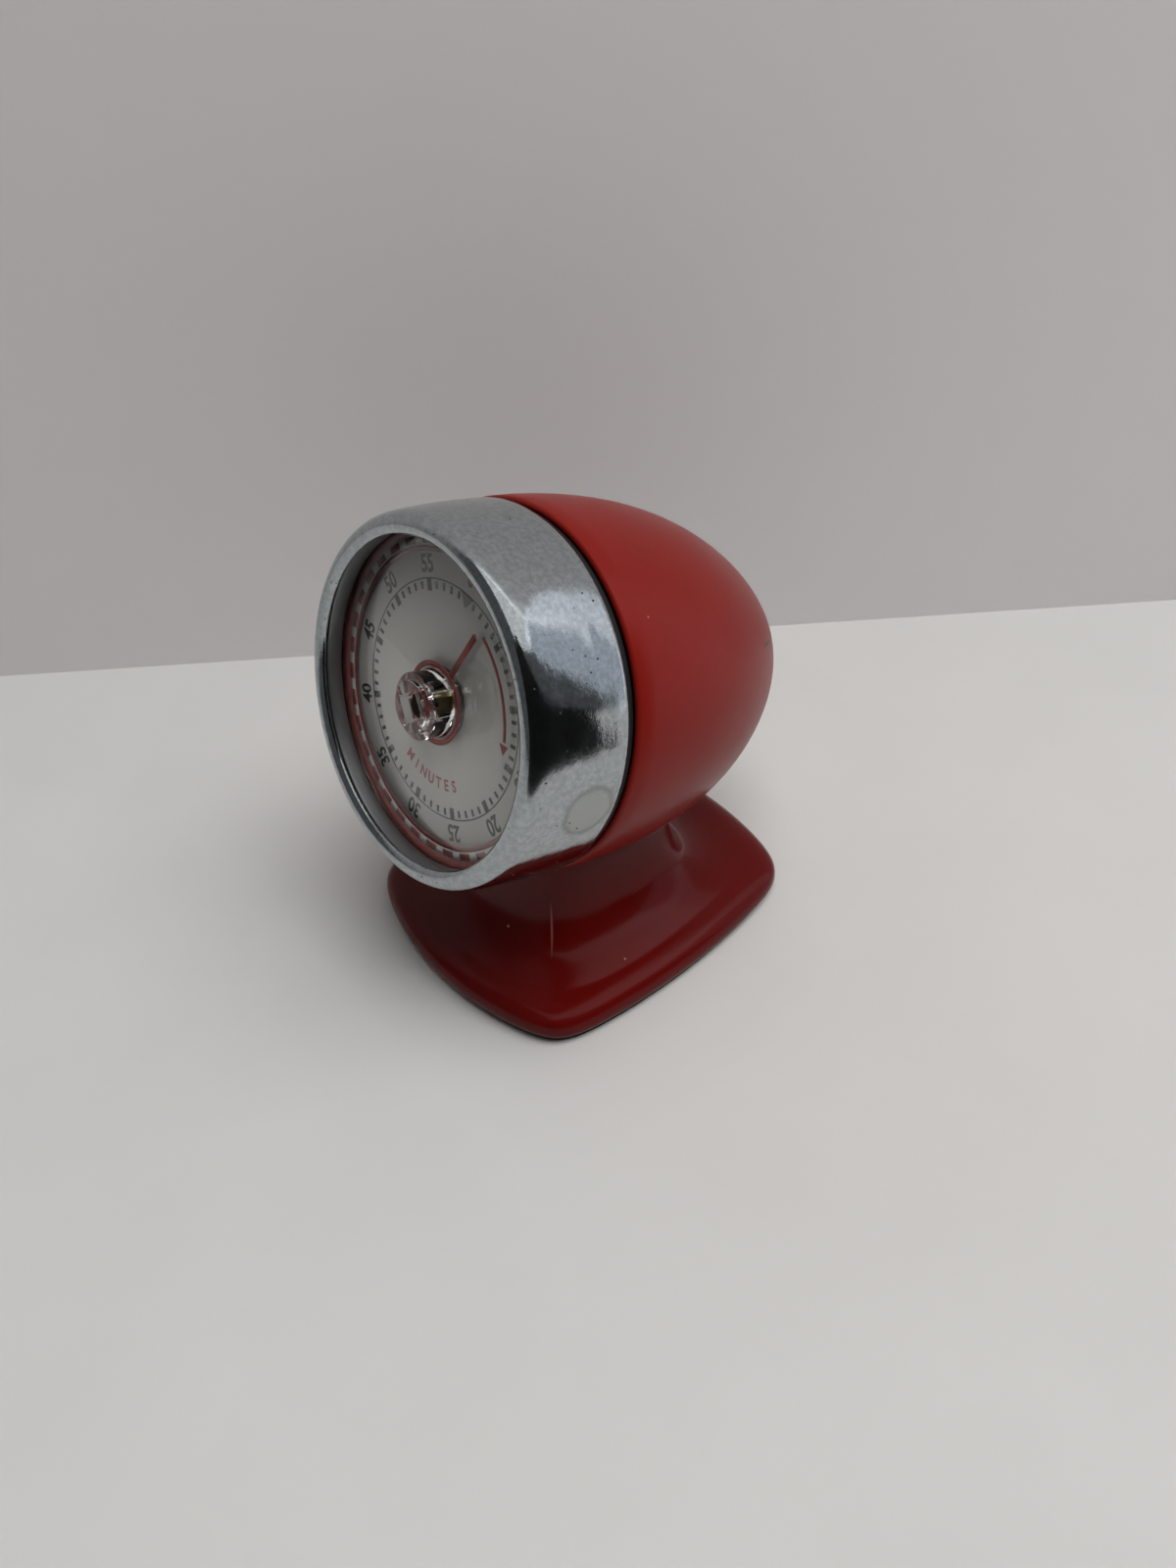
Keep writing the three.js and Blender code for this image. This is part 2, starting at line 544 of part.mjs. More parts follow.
const padOutline = rimInset(1, 18);
piece(timer, 'foot_pad', lofted([[0, ...padOutline], [PAD_THICK, ...padOutline]]), BLACK);
const plateOutline = rimInset(3.2, 14);
let basePlate = lofted([[PAD_THICK + GAP, ...plateOutline], [BASE_PLATE_TOP, ...plateOutline]]);
BASE_SCREW_AT.forEach((at, i) => {
  const seat = PAD_THICK + 2 * GAP;
  basePlate = basePlate.subtract(rod(2.4, 0, seat + 1.3, ...at)).subtract(rod(1.3, 0, 5, ...at));
  const screw = rod(2.1, seat, seat + 1, ...at).add(rod(1, seat + 0.5, 7, ...at));
  piece(timer, `base_screw_${i + 1}`, screw, STEEL);
});
piece(timer, 'base_plate', basePlate, STEEL);

let clampPlate = bar(0, NECK_Y + 8, 15, 13, 25.2, 27.2);
for (const clampHole of clampHoles) clampPlate = clampPlate.subtract(clampHole);
piece(timer, 'neck_clamp_plate', clampPlate, STEEL);
SCREW_Y.forEach((y, i) => {
  const top = NECK_ROOF - GAP;
  const screw = rod(3, top - 1.8, top, 0, y).add(rod(1.5, top - 0.5, 28.5, 0, y));
  piece(timer, `neck_screw_${i + 1}`, screw, STEEL);
});

export default timer;
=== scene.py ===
import json
import math

import bmesh
import bpy
from mathutils import Matrix, Vector


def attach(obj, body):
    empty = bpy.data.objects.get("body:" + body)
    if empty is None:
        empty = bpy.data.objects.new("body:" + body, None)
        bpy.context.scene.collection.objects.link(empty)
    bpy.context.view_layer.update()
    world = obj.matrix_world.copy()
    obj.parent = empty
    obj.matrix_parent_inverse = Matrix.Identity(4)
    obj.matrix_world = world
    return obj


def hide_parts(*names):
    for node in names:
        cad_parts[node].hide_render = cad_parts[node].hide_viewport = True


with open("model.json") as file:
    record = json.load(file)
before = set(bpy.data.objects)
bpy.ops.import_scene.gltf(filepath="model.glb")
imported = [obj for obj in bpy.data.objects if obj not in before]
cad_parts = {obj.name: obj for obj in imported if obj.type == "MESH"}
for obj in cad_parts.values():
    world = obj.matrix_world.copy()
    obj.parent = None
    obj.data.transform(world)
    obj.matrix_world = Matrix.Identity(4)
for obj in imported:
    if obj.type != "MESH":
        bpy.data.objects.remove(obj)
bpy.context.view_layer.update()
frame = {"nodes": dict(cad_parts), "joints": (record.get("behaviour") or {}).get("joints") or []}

# ---- pedestal -----------------------------------------------------------------------------------
# The foot is a pressed steel square with bowed sides, welded to a short square neck, and stoved in
# one glossy red enamel. It is hollow below, and the neck's top is cut to the round of the head.
MM = 0.001
RIM_HALF_WIDTH = 32.1
RIM_FORWARDS = 33.5
RIM_REARWARDS = 39.4
NECK_Y = (RIM_FORWARDS - RIM_REARWARDS) / 2
SIDE_BOW = 4.4
END_BOW = 2.0
CORNER_CROWDING = 0.12  # radians by which the outline's points gather at its corners
FOOT_STEPS = 88
COVE_ENDS = 19.9
NECK_TOP = 37.9
BELOW_HEAD = 1.5
SHELL_RADIUS = 32.54
SHELL_FRONT = -2.0
SHELL_LENGTH = 65.0
NOSE_FULLNESS = 2.53
NOSE_BLUNTNESS = 1.2
AIR = 0.3


def linear(code):
    """An sRGB hex colour as linear red, green, blue and alpha."""
    parts = [int(code[i:i + 2], 16) / 255 for i in (1, 3, 5)]
    return [p / 12.92 if p <= 0.04045 else ((p + 0.055) / 1.055) ** 2.4 for p in parts] + [1.0]


def add_node(material, kind, settings=None, inputs=None):
    """A new node with its settings, and with its inputs set or linked."""
    node = material.node_tree.nodes.new(kind)
    for name, value in (settings or {}).items():
        setattr(node, name, value)
    for name, value in (inputs or {}).items():
        if isinstance(value, bpy.types.NodeSocket):
            material.node_tree.links.new(value, node.inputs[name])
        else:
            node.inputs[name].default_value = value
    return node


def start_material(name, colour, roughness, metallic=0.0):
    """A material named for its real finish, with its plain values on the shader's own sockets."""
    material = bpy.data.materials.new(name)
    material.use_nodes = True
    shader = material.node_tree.nodes["Principled BSDF"]
    shader.inputs["Base Color"].default_value = linear(colour)
    shader.inputs["Roughness"].default_value = roughness
    shader.inputs["Metallic"].default_value = metallic
    return material, shader


def join(material, source, target):
    material.node_tree.links.new(source, target)


def cells_of(size):
    """A pattern's scale for cells or waves of this size in millimetres."""
    return 1 / (size * MM)


def place(name, shape, body, material, slot, *nodes):
    """Makes the finished bmesh a piece of one body, standing for the CAD nodes that it replaces."""
    mesh = bpy.data.meshes.new(name)
    shape.to_mesh(mesh)
    shape.free()
    for face in mesh.polygons:
        face.use_smooth = True
    mesh.materials.append(material)
    made = bpy.data.objects.new(name, mesh)
    bpy.context.scene.collection.objects.link(made)
    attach(made, body)
    if nodes:
        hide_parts(*nodes)
    return made


def spun(profile, steps, closed=False):
    """A turned shape about Z from [radius, height] points in millimetres."""
    shape = bmesh.new()
    points = [shape.verts.new((r * MM, 0, z * MM)) for r, z in profile]
    ends = points + points[:1] if closed else points
    edges = [shape.edges.new(pair) for pair in zip(ends, ends[1:])]
    bmesh.ops.spin(shape, geom=points + edges, cent=(0, 0, 0), axis=(0, 0, 1), angle=2 * math.pi,
                   steps=steps, use_merge=True)
    bmesh.ops.remove_doubles(shape, verts=shape.verts, dist=1e-7)
    bmesh.ops.recalc_face_normals(shape, faces=shape.faces)
    return shape


def bow(reach, ratio, along, across):
    """How far a bowed side lies from the neck's middle, in one direction."""
    radius = reach * ratio
    return math.sqrt(radius ** 2 - ((radius - reach) * across) ** 2) - (radius - reach) * along


def outline(angle, half_width, forwards, rearwards, corner):
    """Distance from the neck's middle to the rounded square, in one direction."""
    along, across = abs(math.cos(angle)), abs(math.sin(angle))
    side = bow(half_width, SIDE_BOW, along, across)
    end = bow(rearwards if angle > 0 else forwards, END_BOW, across, along)
    return (side ** -corner + end ** -corner) ** (-1 / corner)


def rim(inset, corner):
    return RIM_HALF_WIDTH - inset, RIM_FORWARDS - inset, RIM_REARWARDS - inset, corner


def lofted(rings, steps):
    """A closed body about the neck's middle; each ring is a height and the sizes of its rounded square.
    A ring without sizes is the body's end, on the axis. The rings are spun well apart, then shaped."""
    apart = 100
    spread = [(apart * (i + 1) if sizes else 0, z) for i, (z, *sizes) in enumerate(rings)]
    shape = spun(spread, steps)
    for v in shape.verts:
        ring = round(math.hypot(v.co.x, v.co.y) / (apart * MM)) - 1
        if ring >= 0:
            even = math.atan2(v.co.y, v.co.x)
            angle = even + CORNER_CROWDING * math.sin(4 * even)
            reach = outline(angle, *rings[ring][1:]) * MM
            v.co.x, v.co.y = reach * math.cos(angle), reach * math.sin(angle)
        v.co.y += NECK_Y * MM
    return shape


# The head's own frame: its Z runs out of the dial and its Y up the dial.
dial_joint = next(j for j in frame["joints"] if j["name"] == "dial_turn")
head_axis = -Vector(dial_joint["axis"])
lean_back = Vector((0, 0, 1)).rotation_difference(head_axis).to_matrix().to_4x4()
HEAD = Matrix.Translation(dial_joint["pos_m"]) @ lean_back
TO_HEAD = HEAD.inverted()


def shell_radius(t, grow=0.0):
    """The bullet's outer radius at a place along the head's axis, in millimetres."""
    share = min(max((SHELL_FRONT - t) / (SHELL_LENGTH + grow), 0), 1)
    return (SHELL_RADIUS + grow) * (1 - share ** NOSE_FULLNESS) ** (1 / NOSE_BLUNTNESS)


def under_head(x, y):
    """Height of the head's underside, with a little air, above a point of the table, in metres."""
    low, high = 15 * MM, 45 * MM
    for _ in range(30):
        middle = (low + high) / 2
        spot = TO_HEAD @ Vector((x, y, middle)) / MM
        if math.hypot(spot.x, spot.y) < shell_radius(spot.z, AIR):
            high = middle
        else:
            low = middle
    return low


pedestal_rings = [
    (1.3, *rim(2.8, 14)), (1.3, *rim(2.6, 14)), (1.3, *rim(0.9, 17)), (1.45, *rim(0.6, 18)),
    (1.9, *rim(0.15, 18)), (2.4, *rim(0, 18)), (3.4, *rim(0.03, 18)), (4.3, *rim(0.2, 18)),
    (5.0, *rim(0.55, 17.5)), (5.6, *rim(1.15, 17)), (6.1, *rim(1.95, 16)), (6.5, *rim(2.9, 14.5)),
    (6.8, *rim(4.0, 13)), (6.98, *rim(5.0, 12)), (7.3, 26.6, 27.9, 31.0, 11), (7.8, 25.7, 26.8, 28.2, 10),
    (8.5, 24.5, 25.4, 25.9, 8.5), (9.4, 22.8, 23.9, 23.9, 7.6), (10.6, 21.0, 22.3, 22.1, 7.4),
    (12.2, 19.4, 21, 21, 8), (14.5, 18.2, 19.6, 20.0, 9), (17.5, 17.3, 18.6, 19.1, 9.5),
    (20, 16.8, 18, 18.6, 9.5), (38, 16.3, 17.4, 17.6, 9.5), (38.1, 16.1, 17.2, 17.4, 9.5), (38.2,),
]
roof_rings = [
    (18.4,), (18.4, 14.0, 15.2, 15.2, 7), (18.2, 14.2, 15.4, 15.4, 7), (10.4, 17, 18.4, 18.2, 6.5),
    (7.0, 21, 22.4, 22, 6.5), (5.6, 25.5, 27.3, 31.4, 9), (4.2, *rim(2.8, 14)),
]
pedestal = lofted(roof_rings + pedestal_rings, FOOT_STEPS)
# the neck's top takes the round of the head, and the rings under it stay below that
for v in pedestal.verts:
    if v.co.z > COVE_ENDS * MM:
        ceiling = under_head(v.co.x, v.co.y)
        if v.co.z > NECK_TOP * MM:
            v.co.z = ceiling
        else:
            v.co.z = min(v.co.z, ceiling - BELOW_HEAD * MM)

# Stoved enamel over steel, the same paint as the shell's: glossy, with a faint orange peel from the spray
# and a few grains of dust; the eye sees crisp reflections that are a little uneven. Its deeper red here
# is painted shade from the head above.
enamel, enamel_shader = start_material("glossy_red_enamel_painted_shade", "#560a07", 0.13)
enamel_shader.inputs["IOR"].default_value = 1.25
place_on = add_node(enamel, "ShaderNodeTexCoord")
peel = add_node(enamel, "ShaderNodeTexNoise", None,
                {"Vector": place_on.outputs["Object"], "Scale": cells_of(1.25), "Detail": 2.0})
peel_bump = add_node(enamel, "ShaderNodeBump", None,
                     {"Strength": 0.25, "Distance": 0.03 * MM, "Height": peel.outputs["Fac"]})
join(enamel, peel_bump.outputs["Normal"], enamel_shader.inputs["Normal"])
tone = add_node(enamel, "ShaderNodeTexNoise", None,
                {"Vector": place_on.outputs["Object"], "Scale": cells_of(22.22), "Detail": 3.0})
hue = add_node(enamel, "ShaderNodeMix", {"data_type": "RGBA"},
               {"Factor": tone.outputs["Fac"], "A": linear("#4f0806"), "B": linear("#600d0a")})
# grains of dust half a millimetre across, about one in a square of 9 mm
speck = add_node(enamel, "ShaderNodeTexVoronoi", None,
                 {"Vector": place_on.outputs["Object"], "Scale": cells_of(9.091)})
specks = add_node(enamel, "ShaderNodeMath", {"operation": "LESS_THAN"},
                  {0: speck.outputs["Distance"], 1: 0.03})
speck_hue = add_node(enamel, "ShaderNodeMix", {"data_type": "RGBA"},
                     {"Factor": specks.outputs["Value"], "A": hue.outputs["Result"],
                      "B": linear("#a46a63")})


def neck_corner(z, *sizes):
    """A point of the neck's front right corner, in metres."""
    angle = math.atan2(-sizes[1], sizes[0])
    reach = outline(angle, *sizes)
    return Vector((reach * math.cos(angle), reach * math.sin(angle) + NECK_Y, z)) * MM


# that corner carries a thin pale line of painted highlight, the light caught on its edge
highlight_top = neck_corner(19.0, 17.0, 18.3, 18.8, 9.5)
highlight_foot = neck_corner(9.4, 22.8, 23.9, 23.9, 7.6)
highlight_axis = highlight_top - highlight_foot
along_highlight = add_node(enamel, "ShaderNodeMapping", {"vector_type": "TEXTURE"},
                     {"Vector": place_on.outputs["Object"], "Location": (highlight_top + highlight_foot) / 2,
                      "Rotation": highlight_axis.to_track_quat("X", "Z").to_euler(),
                      "Scale": (highlight_axis.length / 2, 0.3 * MM, 3 * MM)})
highlight_reach = add_node(enamel, "ShaderNodeVectorMath", {"operation": "LENGTH"},
                     {0: along_highlight.outputs["Vector"]})
painted_highlight_line = add_node(enamel, "ShaderNodeMapRange", None,
                       {"Value": highlight_reach.outputs["Value"], "From Min": 1.0, "From Max": 0.3})
highlight_hue = add_node(enamel, "ShaderNodeMix", {"data_type": "RGBA"},
                   {"Factor": painted_highlight_line.outputs["Result"], "A": speck_hue.outputs["Result"],
                    "B": linear("#a0615a")})
join(enamel, highlight_hue.outputs["Result"], enamel_shader.inputs["Base Color"])
smear = add_node(enamel, "ShaderNodeMapRange", None,
                 {"Value": tone.outputs["Fac"], "From Min": 0.35, "From Max": 0.75,
                  "To Min": 0.1, "To Max": 0.22})
join(enamel, smear.outputs["Result"], enamel_shader.inputs["Roughness"])
foot = place("pedestal_enamelled", pedestal, "housing", enamel, "red_paint", "pedestal")
rounder = foot.modifiers.new("rounder", "SUBSURF")
rounder.levels = rounder.render_levels = 1

# ---- foot pad, base plate and their screws ----------------------------------------------------------
# A sheet of black foam rubber is glued under a steel base plate, and four screws hold the plate up
# to the foot. The pad stands back from the rim, so only its dark edge shows.
pad_shape = lofted([(0,), (0, *rim(1.3, 18)), (0.12, *rim(1.05, 18)), (0.85, *rim(1.05, 18)),
                    (1.0, *rim(1.25, 18)), (1.0,)], FOOT_STEPS)
# Foam rubber: nearly black and fully dull, with open cells of half a millimetre.
rubber, rubber_shader = start_material("black_foam_rubber", "#1c1a19", 0.9)
rubber_place = add_node(rubber, "ShaderNodeTexCoord")
cells = add_node(rubber, "ShaderNodeTexVoronoi", None,
                 {"Vector": rubber_place.outputs["Object"], "Scale": cells_of(0.5)})
cell_bump = add_node(rubber, "ShaderNodeBump", None,
                     {"Strength": 0.6, "Distance": 0.1 * MM, "Height": cells.outputs["Distance"]})
join(rubber, cell_bump.outputs["Normal"], rubber_shader.inputs["Normal"])
place("foot_pad_rubber", pad_shape, "housing", rubber, "black_rubber", "foot_pad")

# Turned and rolled steel: mid grey and dull bright, with fine tool marks 0.4 mm apart.
steel, steel_shader = start_material("turned_steel", "#9a9b9d", 0.32, 1.0)
steel_place = add_node(steel, "ShaderNodeTexCoord")
marks = add_node(steel, "ShaderNodeTexNoise", None,
                 {"Vector": steel_place.outputs["Object"], "Scale": cells_of(0.4), "Detail": 4.0})
marks_bump = add_node(steel, "ShaderNodeBump", None,
                      {"Strength": 0.3, "Distance": 0.02 * MM, "Height": marks.outputs["Fac"]})
join(steel, marks_bump.outputs["Normal"], steel_shader.inputs["Normal"])
dulling = add_node(steel, "ShaderNodeMapRange", None,
                   {"Value": marks.outputs["Fac"], "To Min": 0.25, "To Max": 0.42})
join(steel, dulling.outputs["Result"], steel_shader.inputs["Roughness"])


def finish_nodes(material, *names):
    """Gives carried-over CAD nodes one procedural material."""
    for name in names:
        frame["nodes"][name].material_slots[0].material = material


finish_nodes(steel, "base_plate", "base_screw_1", "base_screw_2", "base_screw_3", "base_screw_4",
             "neck_clamp_plate", "neck_screw_1", "neck_screw_2")

# ---- rear shell -----------------------------------------------------------------------------------
# The bullet is drawn from steel sheet and enamelled red, with a softer sheen than the foot. Its open
# front edge is hemmed, and the rolled hem catches a thin line of light.
TIP_FROM = 0.92  # share of the length after which the tip is part of a sphere
TIP_CROWDING = 0.8
SHEET = 1.5
TURNED_STEPS = 144


def bullet(grow, steps):
    """[radius, place along the axis] from the mouth to the tip, whose end is part of a sphere."""
    points = []
    for i in range(steps + 1):
        share = TIP_FROM * (i / steps) ** TIP_CROWDING
        t = SHELL_FRONT - share * (SHELL_LENGTH + grow)
        points.append((shell_radius(t, grow), t))
    edge, edge_t = points[-1]
    near_t = edge_t + 0.01
    lean = math.pi / 2 - math.atan2(shell_radius(near_t, grow) - edge, near_t - edge_t)
    ball = edge / math.sin(lean)
    for left in (5 / 6, 4 / 6, 3 / 6, 2 / 6, 1 / 6):
        drop = math.cos(lean) - math.cos(lean * left)
        points.append((ball * math.sin(lean * left), edge_t + ball * drop))
    points.append((0, edge_t + ball * (math.cos(lean) - 1)))
    return points


def on_head(clockwise, radius, t):
    """A point on the head, from its clockwise angle, its radius and its place along the axis."""
    a = math.radians(clockwise)
    return HEAD @ (Vector((radius * math.sin(a), radius * math.cos(a), t)) * MM)


hem = [(31.1, -2.5), (31.2, -2.2), (31.45, -2.03), (31.75, -2.0), (32.05, -2.05), (32.28, -2.2),
       (32.44, -2.45)]
inside, outside = bullet(-SHEET, 18)[1:], bullet(0, 30)[1:]
shell_shape = spun(inside[::-1] + hem + outside, TURNED_STEPS)
shell_shape.transform(HEAD)

# The same enamel, rubbed to a satin sheen by hands, in its own brighter red (the foot's copy is darkened
# as painted shade), with soft broad reflections, grains of dust 0.4 mm across under the paint and one
# long dark scratch near the tip.
satin_red, satin_shader = start_material("satin_red_enamel", "#7c150d", 0.34)
satin_shader.inputs["IOR"].default_value = 1.28
satin_place = add_node(satin_red, "ShaderNodeTexCoord")
satin_peel = add_node(satin_red, "ShaderNodeTexNoise", None,
                      {"Vector": satin_place.outputs["Object"], "Scale": cells_of(1.111), "Detail": 2.0})
satin_bump = add_node(satin_red, "ShaderNodeBump", None,
                      {"Strength": 0.2, "Distance": 0.03 * MM, "Height": satin_peel.outputs["Fac"]})
join(satin_red, satin_bump.outputs["Normal"], satin_shader.inputs["Normal"])
cloud = add_node(satin_red, "ShaderNodeTexNoise", None,
                 {"Vector": satin_place.outputs["Object"], "Scale": cells_of(26.32), "Detail": 5.0,
                  "Roughness": 0.6})
satin_hue = add_node(satin_red, "ShaderNodeMix", {"data_type": "RGBA"},
                     {"Factor": cloud.outputs["Fac"], "A": linear("#76130b"), "B": linear("#841911")})
dust = add_node(satin_red, "ShaderNodeTexVoronoi", None,
                {"Vector": satin_place.outputs["Object"], "Scale": cells_of(5.882)})
grain = add_node(satin_red, "ShaderNodeMath", {"operation": "LESS_THAN"},
                 {0: dust.outputs["Distance"], 1: 0.035})
dusty = add_node(satin_red, "ShaderNodeMix", {"data_type": "RGBA"},
                 {"Factor": grain.outputs["Value"], "A": satin_hue.outputs["Result"],
                  "B": linear("#b4695f")})
scratch_from, scratch_to = (on_head(clockwise, shell_radius(t), t)
                            for clockwise, t in ((61.5, -40.6), (60.3, -48.8)))
scratch_axis = scratch_to - scratch_from
along_scratch = add_node(satin_red, "ShaderNodeMapping", {"vector_type": "TEXTURE"},
                         {"Vector": satin_place.outputs["Object"],
                          "Location": (scratch_from + scratch_to) / 2,
                          "Rotation": scratch_axis.to_track_quat("X", "Z").to_euler(),
                          "Scale": (scratch_axis.length / 2, 0.2 * MM, 1 * MM)})
scratch_reach = add_node(satin_red, "ShaderNodeVectorMath", {"operation": "LENGTH"},
                         {0: along_scratch.outputs["Vector"]})
scratched = add_node(satin_red, "ShaderNodeMapRange", None,
                     {"Value": scratch_reach.outputs["Value"], "From Min": 1.0, "From Max": 0.7})
scratch_hue = add_node(satin_red, "ShaderNodeMix", {"data_type": "RGBA"},
                       {"Factor": scratched.outputs["Result"], "A": dusty.outputs["Result"],
                        "B": linear("#3a0d0a")})
join(satin_red, scratch_hue.outputs["Result"], satin_shader.inputs["Base Color"])
rubbed = add_node(satin_red, "ShaderNodeMapRange", None,
                  {"Value": cloud.outputs["Fac"], "From Min": 0.3, "From Max": 0.7,
                   "To Min": 0.28, "To Max": 0.4})
join(satin_red, rubbed.outputs["Result"], satin_shader.inputs["Roughness"])
place("rear_shell_enamelled", shell_shape, "housing", satin_red, "red_paint", "rear_shell")

# ---- movement carrier -----------------------------------------------------------------------------
# A collar moulded in black ABS closes the mouth of the shell. It holds the clockwork and the dial,
# and the bezel turns on its spigot; between shell and bezel its flange shows as a black band.
collar_profile = [
    (6, -1.7), (6, 0.2), (27.4, 0.2), (27.4, 10.1), (29.6, 10.1), (29.6, -0.3), (31.3, -0.3),
    (31.5, -0.5), (31.5, -1.5), (31.3, -1.7), (30.6, -1.7), (30.6, -7), (28.9, -7), (28.9, -1.7),
]
collar_shape = spun(collar_profile, 128, closed=True)
corner_edges = [e for e in collar_shape.edges if e.calc_face_angle(0) > math.radians(35)]
bmesh.ops.bevel(collar_shape, geom=corner_edges, offset=0.08 * MM, segments=2, profile=0.5,
                affect="EDGES", material=-1)
collar_shape.transform(HEAD)
# Moulded ABS with a fine spark texture, so it is matt and shows no reflections.
black_abs, abs_shader = start_material("moulded_black_abs", "#0b0b0b", 0.6)
abs_place = add_node(black_abs, "ShaderNodeTexCoord")
spark = add_node(black_abs, "ShaderNodeTexNoise", None,
                 {"Vector": abs_place.outputs["Object"], "Scale": cells_of(1 / 3), "Detail": 2.0})
spark_bump = add_node(black_abs, "ShaderNodeBump", None,
                      {"Strength": 0.3, "Distance": 0.03 * MM, "Height": spark.outputs["Fac"]})
join(black_abs, spark_bump.outputs["Normal"], abs_shader.inputs["Normal"])
place("carrier_moulded", collar_shape, "housing", black_abs, "black_plastic", "movement_carrier")

# ---- clockwork and bell ----------------------------------------------------------------------------
# Stamped brass plates and wheels turn on steel arbors between three pillars; a blued spring drives
# them, and the hammer strikes a steel bell on a post behind the rear plate.

# Stamped brass has a yellow lustre, rolling lines 0.25 mm apart and some brown tarnish.
brass, brass_shader = start_material("stamped_brass", "#b28b3f", 0.3, 1.0)
brass_place = add_node(brass, "ShaderNodeTexCoord")
rolled = add_node(brass, "ShaderNodeMapping", {"vector_type": "POINT"},
                  {"Vector": brass_place.outputs["Object"],
                   "Scale": (cells_of(3.333), cells_of(0.25), cells_of(0.25))})
lines = add_node(brass, "ShaderNodeTexNoise", None, {"Vector": rolled.outputs["Vector"], "Scale": 1.0})
tarnish = add_node(brass, "ShaderNodeTexNoise", None,
                   {"Vector": brass_place.outputs["Object"], "Scale": cells_of(5.556), "Detail": 4.0})
brass_hue = add_node(brass, "ShaderNodeMix", {"data_type": "RGBA"},
                     {"Factor": tarnish.outputs["Fac"], "A": linear("#c09a4a"), "B": linear("#94702f")})
join(brass, brass_hue.outputs["Result"], brass_shader.inputs["Base Color"])
line_bump = add_node(brass, "ShaderNodeBump", None,
                     {"Strength": 0.3, "Distance": 0.02 * MM, "Height": lines.outputs["Fac"]})
join(brass, line_bump.outputs["Normal"], brass_shader.inputs["Normal"])
finish_nodes(brass, "front_plate", "rear_plate", "plate_pillar_1", "plate_pillar_2", "plate_pillar_3",
             "main_wheel", "second_wheel", "third_wheel", "escape_wheel", "balance_bar")
finish_nodes(steel, "movement_screw_1", "movement_screw_2", "movement_screw_3", "rear_plate_screw_1",
             "rear_plate_screw_2", "rear_plate_screw_3", "ratchet_wheel", "ratchet_click",
             "alarm_cam", "spring_post", "second_pinion", "third_pinion", "escape_pinion",
             "balance_staff", "pallet_lever", "bell_post", "bell_nut", "hammer_arbor", "hammer_arm",
             "hammer_tail")

# The main arbor is brassed steel; its end, inside the hub, is coloured near black as painted shade, the
# dark seen down the bore.
shade_tipped, shade_tipped_shader = start_material("brassed_steel_with_shade_tipped_end", "#a58a50", 0.3, 1.0)
shade_tipped_place = add_node(shade_tipped, "ShaderNodeTexCoord")
arbor_tip = HEAD @ Vector((0, 0, 16.4 * MM))
from_tip = add_node(shade_tipped, "ShaderNodeVectorMath", {"operation": "DISTANCE"},
                    {0: shade_tipped_place.outputs["Object"], 1: arbor_tip})
tip_shade_mask = add_node(shade_tipped, "ShaderNodeMapRange", None,
               {"Value": from_tip.outputs["Value"], "From Min": 2.6 * MM, "From Max": 2.2 * MM})
# near black within 2.6 mm of the tip: painted shade
tip_shade_hue = add_node(shade_tipped, "ShaderNodeMix", {"data_type": "RGBA"},
                   {"Factor": tip_shade_mask.outputs["Result"], "A": linear("#a58a50"), "B": linear("#15130f")})
join(shade_tipped, tip_shade_hue.outputs["Result"], shade_tipped_shader.inputs["Base Color"])
finish_nodes(shade_tipped, "main_arbor")

# Tempered spring steel is blue with straw-coloured patches.
blued, blued_shader = start_material("blued_spring_steel", "#3f4a66", 0.28, 1.0)
blued_place = add_node(blued, "ShaderNodeTexCoord")
temper = add_node(blued, "ShaderNodeTexNoise", None,
                  {"Vector": blued_place.outputs["Object"], "Scale": cells_of(4)})
blued_hue = add_node(blued, "ShaderNodeMix", {"data_type": "RGBA"},
                     {"Factor": temper.outputs["Fac"], "A": linear("#36415f"), "B": linear("#5b5550")})
join(blued, blued_hue.outputs["Result"], blued_shader.inputs["Base Color"])
finish_nodes(blued, "mainspring")

# The bell is plated with nickel, a warm bright metal with soft polish marks.
nickel, nickel_shader = start_material("polished_nickel_plate", "#bdb6a6", 0.16, 1.0)
nickel_place = add_node(nickel, "ShaderNodeTexCoord")
polish = add_node(nickel, "ShaderNodeTexNoise", None,
                  {"Vector": nickel_place.outputs["Object"], "Scale": cells_of(2.5), "Detail": 5.0})
polish_range = add_node(nickel, "ShaderNodeMapRange", None,
                        {"Value": polish.outputs["Fac"], "To Min": 0.1, "To Max": 0.26})
join(nickel, polish_range.outputs["Result"], nickel_shader.inputs["Roughness"])
finish_nodes(nickel, "bell")

# ---- dial -----------------------------------------------------------------------------------------
# A thin aluminium disc lacquered silver-grey stands fast behind the lens. The minutes are screen
# printed on it in black, with a red nought, a line round the numerals and sixty marks inside it.
DIAL_FACE = 11.0
INK = 0.03
ZERO_AT = 8.5  # the dial is fixed this many degrees clockwise of upright
MINUTE = 6  # degrees
TRACK_INSIDE, TRACK_OUTSIDE = 19.9, 20.15
FIVE_MARK = (1.15, 1.9, 19.9)  # width, length and outer end
MINUTE_MARK = (0.62, 1.25, 19.6)
NUMERALS_AT, NUMERAL_SIZE, NUMERAL_WIDTH = 22.3, 4.1, 0.84
WORD_AT, WORD_SIZE, WORD_WIDTH = 14.3, 2.8, 0.85


def dial_place(radius, clockwise, t):
    """Puts a flat shape, drawn upright about its own middle, on the head at an angle from the top."""
    turn = Matrix.Rotation(-math.radians(clockwise), 4, "Z")
    return HEAD @ turn @ Matrix.Translation(Vector((0, radius, t)) * MM)


